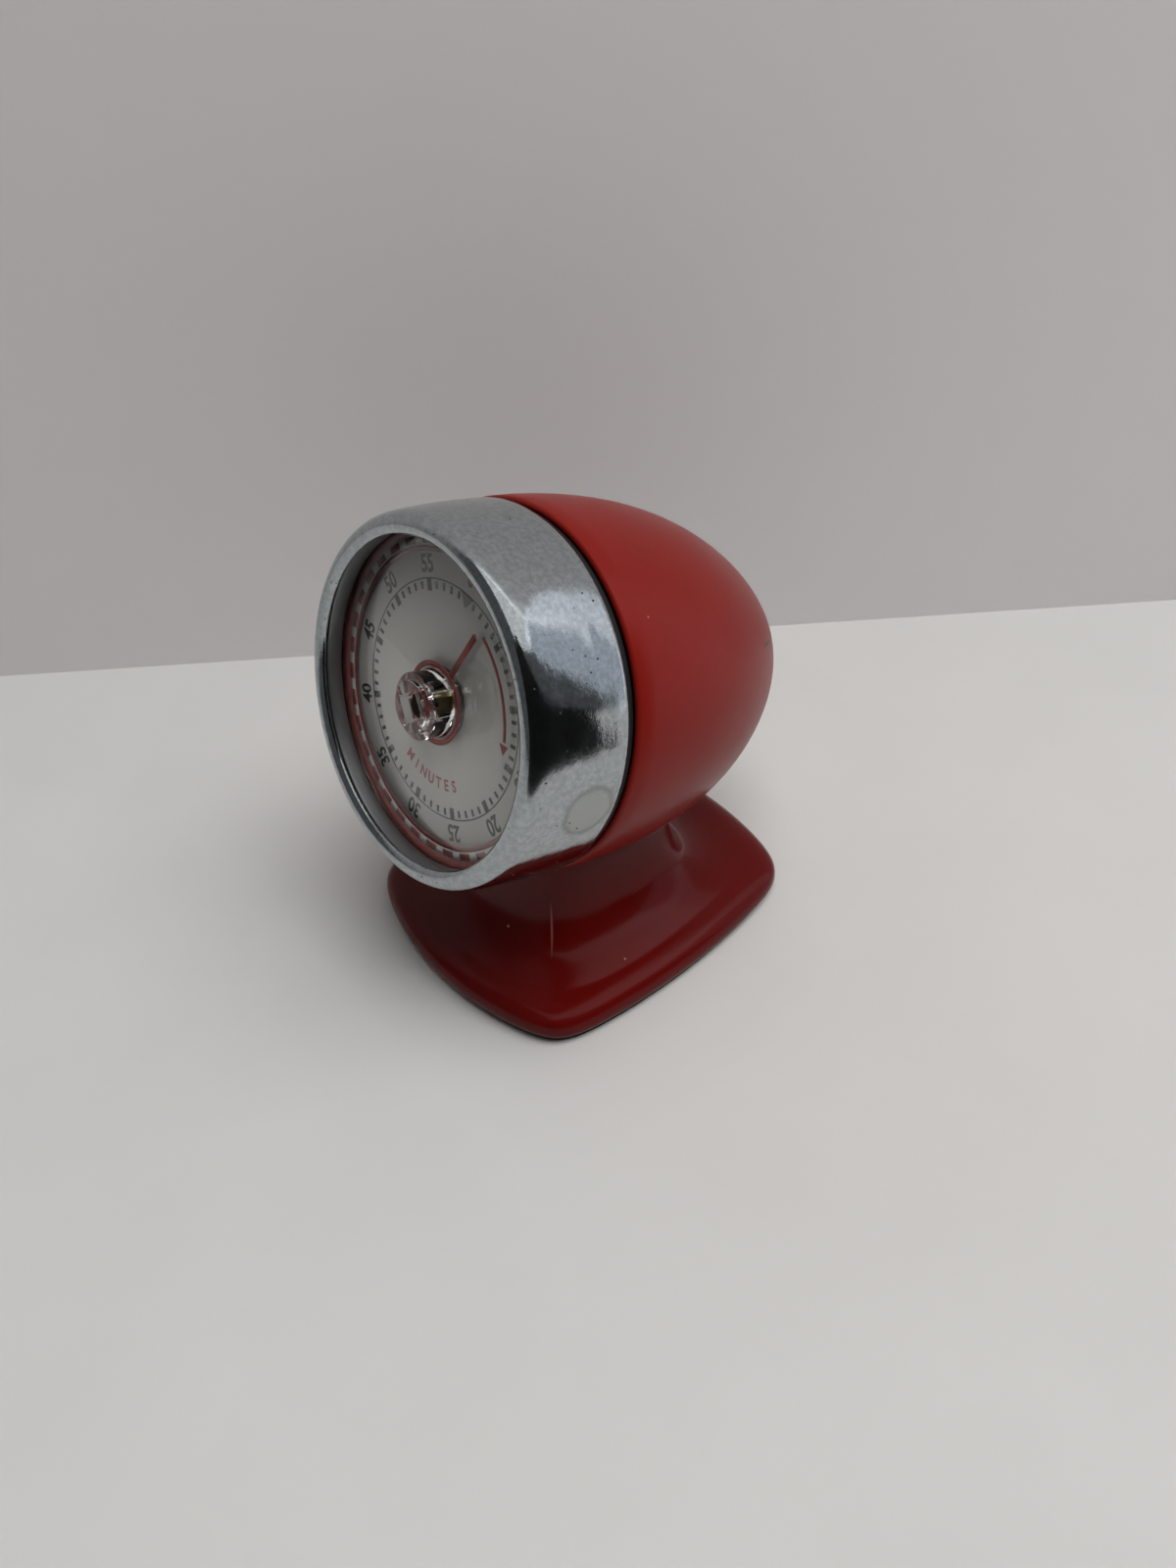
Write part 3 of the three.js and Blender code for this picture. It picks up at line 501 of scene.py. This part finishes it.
# Silver lacquer: a dull metallic grey with a faint cloud of age and a sparkle, whose real flakes of
# 0.05 mm are drawn 0.3 mm apart so that they show.
silver, silver_shader = start_material("silver_dial_lacquer", "#c2c1bd", 0.46, 0.1)
silver_place = add_node(silver, "ShaderNodeTexCoord")
flake = add_node(silver, "ShaderNodeTexNoise", None,
                 {"Vector": silver_place.outputs["Object"], "Scale": cells_of(2 / 7), "Detail": 1.0})
age = add_node(silver, "ShaderNodeTexNoise", None,
               {"Vector": silver_place.outputs["Object"], "Scale": cells_of(16.67), "Detail": 4.0})
flake_range = add_node(silver, "ShaderNodeMapRange", None,
                       {"Value": flake.outputs["Fac"], "To Min": 0.36, "To Max": 0.56})
join(silver, flake_range.outputs["Result"], silver_shader.inputs["Roughness"])
silver_hue = add_node(silver, "ShaderNodeMix", {"data_type": "RGBA"},
                      {"Factor": age.outputs["Fac"], "A": linear("#c9c8c4"), "B": linear("#b9b7b2")})
join(silver, silver_hue.outputs["Result"], silver_shader.inputs["Base Color"])
dial_shape = spun([(5.8, 10.45), (5.85, 10.4), (29.35, 10.4), (29.4, 10.45), (29.4, 10.95),
                   (29.35, DIAL_FACE), (5.9, DIAL_FACE), (5.8, 10.9)], 128, closed=True)
dial_shape.transform(HEAD)
place("dial_lacquered", dial_shape, "housing", silver, "dial_silver", "dial_plate")

# Screen ink is a thin dull film, a little lighter where the mesh of the screen, 0.4 mm, left it thin.
black_ink, black_shader = start_material("black_screen_ink", "#222221", 0.6)
red_ink, red_shader = start_material("red_screen_ink", "#9a2a28", 0.5)
for ink, shader, thin, thick in ((black_ink, black_shader, "#2e2e2c", "#181817"),
                                 (red_ink, red_shader, "#a63a37", "#8c2422")):
    ink_place = add_node(ink, "ShaderNodeTexCoord")
    mesh_holes = add_node(ink, "ShaderNodeTexNoise", None,
                          {"Vector": ink_place.outputs["Object"], "Scale": cells_of(0.3846),
                           "Detail": 2.0})
    ink_hue = add_node(ink, "ShaderNodeMix", {"data_type": "RGBA"},
                       {"Factor": mesh_holes.outputs["Fac"], "A": linear(thin), "B": linear(thick)})
    join(ink, ink_hue.outputs["Result"], shader.inputs["Base Color"])

track = spun([(TRACK_INSIDE, DIAL_FACE), (TRACK_OUTSIDE, DIAL_FACE), (TRACK_OUTSIDE, DIAL_FACE + INK),
              (TRACK_INSIDE, DIAL_FACE + INK)], TURNED_STEPS, closed=True)
track.transform(HEAD)


def print_bar(shape, width, length, middle, clockwise):
    """A printed bar that points to the hub, or a crosswise one where it is wider than long."""
    ink_bar = bmesh.ops.create_cube(shape, size=1)["verts"]
    bmesh.ops.scale(shape, vec=Vector((width, length, INK)) * MM, verts=ink_bar)
    bmesh.ops.transform(shape, verts=ink_bar, matrix=dial_place(middle, clockwise, DIAL_FACE + INK / 2))


for minute in range(1, 60):
    width, length, outer = MINUTE_MARK if minute % 5 else FIVE_MARK
    print_bar(track, width, length, outer - length / 2, ZERO_AT + MINUTE * minute)
# the mark at nought is a triangle of hatching whose point is towards the hub
for i in range(6):
    print_bar(track, 3.1 - 0.52 * i, 0.2, 19.75 - 0.36 * i, ZERO_AT)
place("dial_minute_track", track, "housing", black_ink, "dial_silver")


def lettering(name, marks, ink, size, narrow):
    """One printed piece of short texts, each [text, radius, degrees clockwise, degrees turned]."""
    printed = bmesh.new()
    for text, radius, clockwise, turned in marks:
        curve = bpy.data.curves.new(name, "FONT")
        curve.body = text
        curve.align_x = "CENTER"
        curve.align_y = "CENTER"
        curve.size = 1
        curve.offset = 0.028
        curve.extrude = 0.5
        curve.resolution_u = 6
        holder = bpy.data.objects.new(name, curve)
        bpy.context.scene.collection.objects.link(holder)
        flat = bpy.data.meshes.new_from_object(holder)
        flat.transform(dial_place(radius, clockwise, DIAL_FACE + INK / 2)
                       @ Matrix.Rotation(math.radians(turned), 4, "Z")
                       @ Matrix.Diagonal((size * narrow * MM, size * MM, INK * MM, 1)))
        printed.from_mesh(flat)
        bpy.data.objects.remove(holder)
        bpy.data.curves.remove(curve)
        bpy.data.meshes.remove(flat)
    place(name, printed, "housing", ink, "dial_silver")


numerals = [(str(n), NUMERALS_AT, ZERO_AT + MINUTE * n, 0) for n in range(5, 60, 5)]
lettering("dial_numerals", numerals, black_ink, NUMERAL_SIZE, NUMERAL_WIDTH)
lettering("dial_nought", [("0", NUMERALS_AT + 0.5, ZERO_AT, 0)], red_ink, NUMERAL_SIZE, NUMERAL_WIDTH)
# the word curves below the hub, with its letters upright there
word = [(letter, WORD_AT, 205 - 8.6 * i, 180) for i, letter in enumerate("MINUTES")]
lettering("dial_word_minutes", word, red_ink, WORD_SIZE, WORD_WIDTH)

# ---- bezel ----------------------------------------------------------------------------------------
# The bezel is a brass ring spun over a rolled lip and chromed; turning it winds the timer. Years of
# use have left shallow dents, pits, scratches and one rubbed oval where the plating has gone dull.
BEZEL_RADIUS = 32.0
INNER_WALL = 30.6
DENT_FALLOFF = 1.4
bezel_profile = [
    (32.05, 0.0), (32.2, 0.15), (32.2, 2.0), (32.12, 4.0), (32.05, 6.0), (31.9, 8.5), (31.72, 11.0),
    (31.5, 13.2), (31.27, 15.0), (31.1, 16.0), (30.85, 16.9), (30.45, 17.55), (29.9, 18.0),
    (29.3, 18.2), (28.7, 18.18), (28.1, 18.0), (27.65, 17.75), (27.42, 17.5), (27.4, 17.3),
    (27.5, 17.12), (28.1, 17.05), (29.2, 16.8), (29.9, 16.4), (30.2, 15.8), (30.2, 0.15), (30.35, 0.0),
]
bezel_shape = spun(bezel_profile, 216, closed=True)
long_edges = [e for e in bezel_shape.edges if abs(e.verts[0].co.z - e.verts[1].co.z) > 1.5 * MM]
bmesh.ops.subdivide_edges(bezel_shape, edges=long_edges, cuts=2, use_grid_fill=True)
# dents as degrees clockwise from the top, place along the axis, half length, half width, depth
dents = [(7.0, 6.5, 1.6, 0.9, 0.32), (48.5, 5.0, 3.6, 0.8, 0.12), (99.0, 5.6, 3.4, 3.0, 0.10),
         (62.0, 12.0, 2.0, 1.4, 0.06), (160.0, 8.0, 3.0, 2.0, 0.1), (236.0, 6.0, 2.5, 2.0, 0.12),
         (301.0, 9.0, 2.0, 1.5, 0.1)]
for v in bezel_shape.verts:
    spot = v.co / MM
    radius = math.hypot(spot.x, spot.y)
    if radius < INNER_WALL:
        continue
    for clockwise, t, half_length, half_width, depth in dents:
        apart = (math.degrees(math.atan2(spot.x, spot.y)) - clockwise + 180) % 360 - 180
        around = math.radians(apart) * radius
        share = (around / half_length) ** 2 + ((spot.z - t) / half_width) ** 2
        pull = depth * math.exp(-share * DENT_FALLOFF)
        v.co -= Vector((v.co.x, v.co.y, 0)).normalized() * pull * MM
bezel_shape.transform(HEAD)

# Old chrome plate: a cool mirror with a slight haze, pinholes of about 0.4 mm, fine wiping scratches,
# and patches where it is worn to a grey bloom.
chrome, chrome_shader = start_material("worn_chrome_plate", "#adb3b6", 0.08, 1.0)
chrome_place = add_node(chrome, "ShaderNodeTexCoord")
haze = add_node(chrome, "ShaderNodeTexNoise", None,
                {"Vector": chrome_place.outputs["Object"], "Scale": cells_of(9.091), "Detail": 6.0,
                 "Roughness": 0.65})
fine = add_node(chrome, "ShaderNodeTexNoise", None,
                {"Vector": chrome_place.outputs["Object"], "Scale": cells_of(2 / 3), "Detail": 3.0})
pores = add_node(chrome, "ShaderNodeTexVoronoi", None,
                 {"Vector": chrome_place.outputs["Object"], "Scale": cells_of(5 / 3)})
pore = add_node(chrome, "ShaderNodeMath", {"operation": "LESS_THAN"},
                {0: pores.outputs["Distance"], 1: 0.11})
corroded = add_node(chrome, "ShaderNodeMapRange", None,
                    {"Value": haze.outputs["Fac"], "From Min": 0.49, "From Max": 0.58})
pitted = add_node(chrome, "ShaderNodeMath", {"operation": "MULTIPLY"},
                  {0: pore.outputs["Value"], 1: corroded.outputs["Result"]})
# the rubbed oval, 10 mm by 7 mm, and its ragged edge
oval_from = add_node(chrome, "ShaderNodeVectorMath", {"operation": "DISTANCE"},
                     {0: chrome_place.outputs["Object"], 1: on_head(99.3, BEZEL_RADIUS, 5.6)})
ragged = add_node(chrome, "ShaderNodeMath", {"operation": "MULTIPLY_ADD"},
                  {0: haze.outputs["Fac"], 1: 2.2 * MM, 2: oval_from.outputs["Value"]})
oval = add_node(chrome, "ShaderNodeMapRange", None,
                {"Value": ragged.outputs["Value"], "From Min": 6.4 * MM, "From Max": 4.8 * MM})
dulled = add_node(chrome, "ShaderNodeMapRange", None,
                  {"Value": haze.outputs["Fac"], "From Min": 0.4, "From Max": 0.7,
                   "To Min": 0.07, "To Max": 0.2})
worn = add_node(chrome, "ShaderNodeMath", {"operation": "MULTIPLY_ADD"},
                {0: oval.outputs["Result"], 1: 0.22, 2: dulled.outputs["Result"]})
rough_pits = add_node(chrome, "ShaderNodeMath", {"operation": "MULTIPLY_ADD"},
                      {0: pitted.outputs["Value"], 1: 0.4, 2: worn.outputs["Value"]})
join(chrome, rough_pits.outputs["Value"], chrome_shader.inputs["Roughness"])
# light and dark frosting, 0.9 mm
frost = add_node(chrome, "ShaderNodeTexNoise", None,
                 {"Vector": chrome_place.outputs["Object"], "Scale": cells_of(10 / 11), "Detail": 5.0,
                  "Roughness": 0.7})
frosted = add_node(chrome, "ShaderNodeMapRange", None,
                   {"Value": frost.outputs["Fac"], "From Min": 0.4, "From Max": 0.62})
frost_hue = add_node(chrome, "ShaderNodeMix", {"data_type": "RGBA"},
                     {"Factor": frosted.outputs["Result"], "A": linear("#a1a7a9"),
                      "B": linear("#b6bcbf")})
bloom = add_node(chrome, "ShaderNodeMix", {"data_type": "RGBA"},
                 {"Factor": oval.outputs["Result"], "A": frost_hue.outputs["Result"],
                  "B": linear("#adb1b0")})
# the rim of the oval is darker, where the plating has begun to lift
rim_band = add_node(chrome, "ShaderNodeMath", {"operation": "PINGPONG"},
                    {0: oval.outputs["Result"], 1: 0.5})
rim_hue = add_node(chrome, "ShaderNodeMix", {"data_type": "RGBA"},
                   {"Factor": rim_band.outputs["Value"], "A": bloom.outputs["Result"],
                    "B": linear("#6c706f")})
pit_hue = add_node(chrome, "ShaderNodeMix", {"data_type": "RGBA"},
                   {"Factor": pitted.outputs["Value"], "A": rim_hue.outputs["Result"],
                    "B": linear("#33302c")})
join(chrome, pit_hue.outputs["Result"], chrome_shader.inputs["Base Color"])
# wiping scratches 5 mm long and 0.3 mm apart
scratch_space = add_node(chrome, "ShaderNodeMapping", {"vector_type": "POINT"},
                         {"Vector": chrome_place.outputs["Object"], "Rotation": (0.7, 0.3, 0.5),
                          "Scale": (cells_of(5.5556), cells_of(0.2381), cells_of(0.3846))})
scratches = add_node(chrome, "ShaderNodeTexNoise", None,
                     {"Vector": scratch_space.outputs["Vector"], "Scale": 1.0, "Detail": 2.0})
relief = add_node(chrome, "ShaderNodeMath", {"operation": "MULTIPLY_ADD"},
                  {0: fine.outputs["Fac"], 1: 1.3, 2: scratches.outputs["Fac"]})
wavy = add_node(chrome, "ShaderNodeMath", {"operation": "MULTIPLY_ADD"},
                {0: haze.outputs["Fac"], 1: 5.0, 2: relief.outputs["Value"]})
sunk = add_node(chrome, "ShaderNodeMath", {"operation": "MULTIPLY_ADD"},
                {0: pitted.outputs["Value"], 1: -3.0, 2: wavy.outputs["Value"]})
# two small dings near the top, 2.6 mm across
height = sunk
for clockwise, t in ((6.4, 5.3), (8.4, 8.2)):
    away = add_node(chrome, "ShaderNodeVectorMath", {"operation": "DISTANCE"},
                    {0: chrome_place.outputs["Object"], 1: on_head(clockwise, BEZEL_RADIUS, t)})
    ding = add_node(chrome, "ShaderNodeMapRange", {"interpolation_type": "SMOOTHSTEP"},
                    {"Value": away.outputs["Value"], "From Min": 1.3 * MM, "From Max": 0.0})
    height = add_node(chrome, "ShaderNodeMath", {"operation": "MULTIPLY_ADD"},
                      {0: ding.outputs["Result"], 1: -18.0, 2: height.outputs["Value"]})
chrome_bump = add_node(chrome, "ShaderNodeBump", None,
                       {"Strength": 0.35, "Distance": 0.02 * MM, "Height": height.outputs["Value"]})
join(chrome, chrome_bump.outputs["Normal"], chrome_shader.inputs["Normal"])
bezel = place("bezel_chromed", bezel_shape, "winding_head", chrome, "chrome_plate", "bezel_ring")
bezel.data.set_sharp_from_angle(angle=math.radians(50))

# ---- lens retainer ----------------------------------------------------------------------------------
# A ring of satin grey aluminium is pressed inside the lip and holds the lens in the bezel.
retainer_shape = spun([(28.1, 13.6), (28.2, 13.5), (29.8, 13.5), (29.9, 13.6), (29.9, 15.5), (29.8, 15.7),
                       (29.1, 16.3), (28.9, 16.4), (28.2, 16.4), (28.1, 16.3)], TURNED_STEPS, closed=True)
retainer_shape.transform(HEAD)
# Turned aluminium left satin: soft broad reflections in mid grey.
satin_metal, satin_metal_shader = start_material("satin_aluminium", "#8b8d8e", 0.4, 0.9)
ring_place = add_node(satin_metal, "ShaderNodeTexCoord")
ring_noise = add_node(satin_metal, "ShaderNodeTexNoise", None,
                      {"Vector": ring_place.outputs["Object"], "Scale": cells_of(5 / 9), "Detail": 3.0})
ring_range = add_node(satin_metal, "ShaderNodeMapRange", None,
                      {"Value": ring_noise.outputs["Fac"], "To Min": 0.32, "To Max": 0.5})
join(satin_metal, ring_range.outputs["Result"], satin_metal_shader.inputs["Roughness"])
place("retainer_satin", retainer_shape, "winding_head", satin_metal, "satin_ring", "lens_retainer")

# ---- lens -------------------------------------------------------------------------------------------
# The lens and its hub are one moulding of clear acrylic. The hub's bore fits over the D-shaped end
# of the shaft, so bezel, lens and pointer all turn together.
LENS_BACK = 11.6
LENS_FRONT = 13.2
SOCKET_EDGE = 2.9
SOCKET_FLOOR = 15.35
SOCKET_TURN = 0.9  # radians
SOCKET_SQUARENESS = 5
SOCKET_SHARE = 0.86
lens_profile = [
    (2.2, LENS_BACK), (29.7, LENS_BACK), (29.9, 11.8), (29.9, 13.0), (29.7, LENS_FRONT),
    (6.1, LENS_FRONT), (5.75, 13.3), (5.55, 13.7), (5.5, 14.5), (5.55, 15.6), (5.68, 16.6), (5.66, 16.9),
    (5.5, 17.03), (4.75, 17.06), (4.5, 17.14), (4.42, 17.4), (4.42, 17.75), (4.34, 17.92), (4.1, 18.0),
    (3.0, 18.0), (2.8, 17.92), (2.68, 17.6), (2.5, 15.5), (2.4, 15.4), (2.2, 15.3),
]
lens_shape = spun(lens_profile, TURNED_STEPS, closed=True)
# the socket in the hub's face is square with round corners
for v in lens_shape.verts:
    spot = v.co / MM
    if math.hypot(spot.x, spot.y) < SOCKET_EDGE and spot.z > SOCKET_FLOOR:
        angle = math.atan2(spot.y, spot.x) + SOCKET_TURN
        square = (abs(math.cos(angle)) ** SOCKET_SQUARENESS
                  + abs(math.sin(angle)) ** SOCKET_SQUARENESS) ** (-1 / SOCKET_SQUARENESS)
        v.co.x *= square * SOCKET_SHARE
        v.co.y *= square * SOCKET_SHARE
lens_shape.transform(HEAD)
# Clear acrylic: colourless with an index of 1.49, polished, with a trace of wiping haze.
acrylic, acrylic_shader = start_material("clear_acrylic", "#fafbfa", 0.02)
acrylic_shader.inputs["IOR"].default_value = 1.49
acrylic_shader.inputs["Transmission Weight"].default_value = 1.0
acrylic_place = add_node(acrylic, "ShaderNodeTexCoord")
wiped = add_node(acrylic, "ShaderNodeTexNoise", None,
                 {"Vector": acrylic_place.outputs["Object"], "Scale": cells_of(11.11), "Detail": 4.0})
wiped_range = add_node(acrylic, "ShaderNodeMapRange", None,
                       {"Value": wiped.outputs["Fac"], "From Min": 0.4, "From Max": 0.8,
                        "To Min": 0.0, "To Max": 0.05})
join(acrylic, wiped_range.outputs["Result"], acrylic_shader.inputs["Roughness"])
lens = place("lens_clear", lens_shape, "winding_head", acrylic, "clear_acrylic", "lens")
lens.data.set_sharp_from_angle(angle=math.radians(40))
# a clear lens lets the light through to the dial
lens.visible_shadow = False

# ---- printing on the lens -----------------------------------------------------------------------------
# A dull red ring of dashes and a disc are printed behind the lens, and a ring round the hub, a pointer
# and a curved arrow in front; the pointer reads the minutes and the arrow shows which way to wind.

# Translucent ink lets some of the dial through, so it looks brown-red.
lens_ink, lens_ink_shader = start_material("translucent_red_ink", "#7d3b37", 0.4)
lens_ink_place = add_node(lens_ink, "ShaderNodeTexCoord")
coverage = add_node(lens_ink, "ShaderNodeTexNoise", None,
                    {"Vector": lens_ink_place.outputs["Object"], "Scale": cells_of(1.111), "Detail": 3.0})
lens_ink_hue = add_node(lens_ink, "ShaderNodeMix", {"data_type": "RGBA"},
                        {"Factor": coverage.outputs["Fac"], "A": linear("#874540"),
                         "B": linear("#703330")})
join(lens_ink, lens_ink_hue.outputs["Result"], lens_ink_shader.inputs["Base Color"])


def flat_arc(shape, inner, outer, start, end, low, high):
    """A flat arc between two radii, from one clockwise angle to another."""
    steps = max(2, round((end - start) / 3))
    corners = [(inner, low), (outer, low), (outer, high), (inner, high)]
    points = [shape.verts.new((0, r * MM, z * MM)) for r, z in corners]
    face = shape.faces.new(points)
    bmesh.ops.rotate(shape, cent=(0, 0, 0), verts=points,
                     matrix=Matrix.Rotation(-math.radians(start), 3, "Z"))
    bmesh.ops.spin(shape, geom=[face], cent=(0, 0, 0), axis=(0, 0, -1),
                   angle=math.radians(end - start), steps=steps)


def flat_ring(shape, inner, outer, low, high):
    """A whole flat ring, of two half arcs."""
    for start in (0, 180):
        flat_arc(shape, inner, outer, start, start + 180, low, high)


DASHES = 34
DASH_DEGREES = 6.2
dash_ring = bmesh.new()
back = (LENS_BACK - 0.04, LENS_BACK - 0.01)
flat_ring(dash_ring, 24.5, 25.35, *back)
flat_ring(dash_ring, 27.05, 29.4, *back)
for i in range(DASHES):
    flat_arc(dash_ring, 25.65, 26.8, i * 360 / DASHES, i * 360 / DASHES + DASH_DEGREES, *back)
# the disc behind the hub
flat_ring(dash_ring, 2.4, 5.9, *back)
bmesh.ops.remove_doubles(dash_ring, verts=dash_ring.verts, dist=1e-7)
bmesh.ops.recalc_face_normals(dash_ring, faces=dash_ring.faces)
dash_ring.transform(HEAD)
place("lens_dash_ring", dash_ring, "winding_head", lens_ink, "clear_acrylic")

# A white underprint fills the gaps between the dashes: a dull, slightly uneven film of screen ink.
white_ink, white_ink_shader = start_material("white_screen_ink", "#b9b6b4", 0.6)
white_ink_place = add_node(white_ink, "ShaderNodeTexCoord")
white_cover = add_node(white_ink, "ShaderNodeTexNoise", None,
                       {"Vector": white_ink_place.outputs["Object"], "Scale": cells_of(1.111),
                        "Detail": 3.0})
white_hue = add_node(white_ink, "ShaderNodeMix", {"data_type": "RGBA"},
                     {"Factor": white_cover.outputs["Fac"], "A": linear("#c6c2c0"),
                      "B": linear("#a9a5a3")})
join(white_ink, white_hue.outputs["Result"], white_ink_shader.inputs["Base Color"])
underprint = bmesh.new()
flat_ring(underprint, 25.3, 27.1, LENS_BACK - 0.08, LENS_BACK - 0.045)
bmesh.ops.remove_doubles(underprint, verts=underprint.verts, dist=1e-7)
bmesh.ops.recalc_face_normals(underprint, faces=underprint.faces)
underprint.transform(HEAD)
place("lens_underprint", underprint, "winding_head", white_ink, "clear_acrylic")

POINTER_AT = 27.5  # degrees clockwise of the head's top
POINTER_WIDTH = 1.15
POINTER_FROM, POINTER_TO = 6.9, 16.9
ARROW_FROM, ARROW_TO = 31.8, 84.0
FILM_MIDDLE, FILM_TOP = LENS_FRONT + 0.03, LENS_FRONT + 0.05
front = (LENS_FRONT + 0.01, FILM_TOP)
pointer = bmesh.new()
flat_ring(pointer, 6.15, 7.1, *front)
flat_arc(pointer, 18.2, 18.85, ARROW_FROM, ARROW_TO, *front)
bmesh.ops.remove_doubles(pointer, verts=pointer.verts, dist=1e-7)
# the arrow's head
bmesh.ops.create_circle(pointer, cap_ends=True, segments=3, radius=1.25 * MM,
                        matrix=Matrix.Rotation(-math.radians(ARROW_TO + 2), 4, "Z")
                        @ Matrix.Translation(Vector((0.4, 18.5, FILM_MIDDLE)) * MM)
                        @ Matrix.Rotation(-math.pi / 2, 4, "Z"))
# the pointer's bar with its round end
bar = bmesh.ops.create_cube(pointer, size=1)["verts"]
bar_turn = Matrix.Rotation(-math.radians(POINTER_AT), 4, "Z")
bar_middle = (POINTER_FROM + POINTER_TO) / 2
bmesh.ops.scale(pointer, vec=Vector((POINTER_WIDTH, POINTER_TO - POINTER_FROM, 0.04)) * MM, verts=bar)
bmesh.ops.transform(pointer, verts=bar,
                    matrix=bar_turn @ Matrix.Translation(Vector((0, bar_middle, FILM_MIDDLE)) * MM))
bmesh.ops.create_circle(pointer, cap_ends=True, segments=24, radius=POINTER_WIDTH / 2 * MM,
                        matrix=bar_turn @ Matrix.Translation(Vector((0, POINTER_TO, FILM_TOP)) * MM))
bmesh.ops.recalc_face_normals(pointer, faces=pointer.faces)
pointer.transform(HEAD)
place("lens_pointer", pointer, "winding_head", lens_ink, "clear_acrylic")

# ---- table, backdrop, lamps and camera -----------------------------------------------------------------
# The timer stands on a sheet of off-white paper in front of a pale wall, under one broad lamp.
# Polished parts reflect a dimmer sheet overhead, a small cool panel at the side, which lights the
# chrome's middle, and a black card that gives the chrome its dark edge.


def board(name, corners, material):
    """A flat staged board through four corners."""
    shape = bmesh.new()
    shape.faces.new([shape.verts.new(c) for c in corners])
    mesh = bpy.data.meshes.new(name)
    shape.to_mesh(mesh)
    shape.free()
    mesh.materials.append(material)
    made = bpy.data.objects.new(name, mesh)
    bpy.context.scene.collection.objects.link(made)
    return made


# Matt paper with faint clouds of fibre, 40 mm across.
paper, paper_shader = start_material("off_white_paper", "#cecdcb", 0.9)
paper_place = add_node(paper, "ShaderNodeTexCoord")
fibres = add_node(paper, "ShaderNodeTexNoise", None,
                  {"Vector": paper_place.outputs["Object"], "Scale": cells_of(40), "Detail": 6.0})
paper_hue = add_node(paper, "ShaderNodeMix", {"data_type": "RGBA"},
                     {"Factor": fibres.outputs["Fac"], "A": linear("#cbcac8"), "B": linear("#d3d2d0")})
join(paper, paper_hue.outputs["Result"], paper_shader.inputs["Base Color"])
board("table", [(-3, -3, 0), (3, -3, 0), (3, 3, 0), (-3, 3, 0)], paper)

# Matt wall paint. The wall shows only from the front, so it doesn't hide the timer from behind.
wall_paint, wall_shader = start_material("matt_wall_paint", "#e5e3e3", 0.95)
side = add_node(wall_paint, "ShaderNodeNewGeometry")
clear = add_node(wall_paint, "ShaderNodeBsdfTransparent")
one_sided = add_node(wall_paint, "ShaderNodeMixShader", None, {"Fac": side.outputs["Backfacing"]})
join(wall_paint, wall_shader.outputs["BSDF"], one_sided.inputs[1])
join(wall_paint, clear.outputs["BSDF"], one_sided.inputs[2])
wall_surface = wall_paint.node_tree.nodes["Material Output"].inputs["Surface"]
join(wall_paint, one_sided.outputs["Shader"], wall_surface)
wall_left = Vector((-1.2, -1.392, 0))
wall_right = Vector((0.9, 1.313, 0))
rise = Vector((0, 0, 2.0))
board("wall", [wall_left, wall_right, wall_right + rise, wall_left + rise], wall_paint)

# Black card: flat and dull; only reflections show it.
card, card_shader = start_material("black_card", "#0c0c0c", 0.9)
CARD_X = 0.165
card_edge = [(0.078, 0), (0.078, 0.07), (0, 0.2), (-0.08, 0.36), (-0.4, 0.5), (-0.4, 0)]
flag = board("dark_card", [(CARD_X, y, z) for y, z in card_edge], card)
flag.visible_camera = False
flag.visible_diffuse = False
flag.visible_shadow = False


def lamp(name, at, aim, width, height, power, colour):
    """A flat lamp that faces its aim."""
    light = bpy.data.lights.new(name, "AREA")
    light.shape = "RECTANGLE"
    light.size = width
    light.size_y = height
    light.energy = power
    light.color = linear(colour)[:3]
    made = bpy.data.objects.new(name, light)
    made.location = at
    made.rotation_euler = (Vector(at) - Vector(aim)).to_track_quat("Z", "Y").to_euler()
    bpy.context.scene.collection.objects.link(made)
    return made


overhead_lamp = lamp("overhead_lamp", (0.3, 0.3, 1.3), (0.1, 0, 0), 1.3, 1.3, 27.6, "#fffefd")
overhead_lamp.visible_glossy = False
# glossy parts see this dimmer and broader sheet in place of the lamp
diffuser = lamp("overhead_diffuser", (0.15, 0.2, 1.3), (0.1, 0, 0), 1.7, 1.7, 7.2, "#fffefd")
diffuser.visible_diffuse = False
side_panel = lamp("side_panel", (0.15, 0.21, 0.16), (0, 0, 0.08), 0.2, 0.3, 0.105, "#e8f0ff")
side_panel.visible_diffuse = False

world = bpy.data.worlds.new("room_light")
bpy.context.scene.world = world
world.use_nodes = True
world.node_tree.nodes["Background"].inputs["Color"].default_value = linear("#d9dbdd")
world.node_tree.nodes["Background"].inputs["Strength"].default_value = 0.14

camera = bpy.data.objects.new("camera", bpy.data.cameras.new("camera"))
bpy.context.scene.collection.objects.link(camera)
camera.data.sensor_width = 36
camera.data.lens = 27
camera.data.clip_start = 0.01
CAMERA_AT = (0.13794, -0.10527, 0.17547)
camera_right = Vector((0.64904, 0.75935, -0.04624))
camera_up = Vector((-0.46926, 0.44745, 0.76130))
axes = Matrix((camera_right, camera_up, camera_right.cross(camera_up))).transposed()
camera.matrix_world = Matrix.Translation(CAMERA_AT) @ axes.to_4x4()
bpy.context.scene.camera = camera
bpy.context.scene.view_settings.view_transform = "Standard"
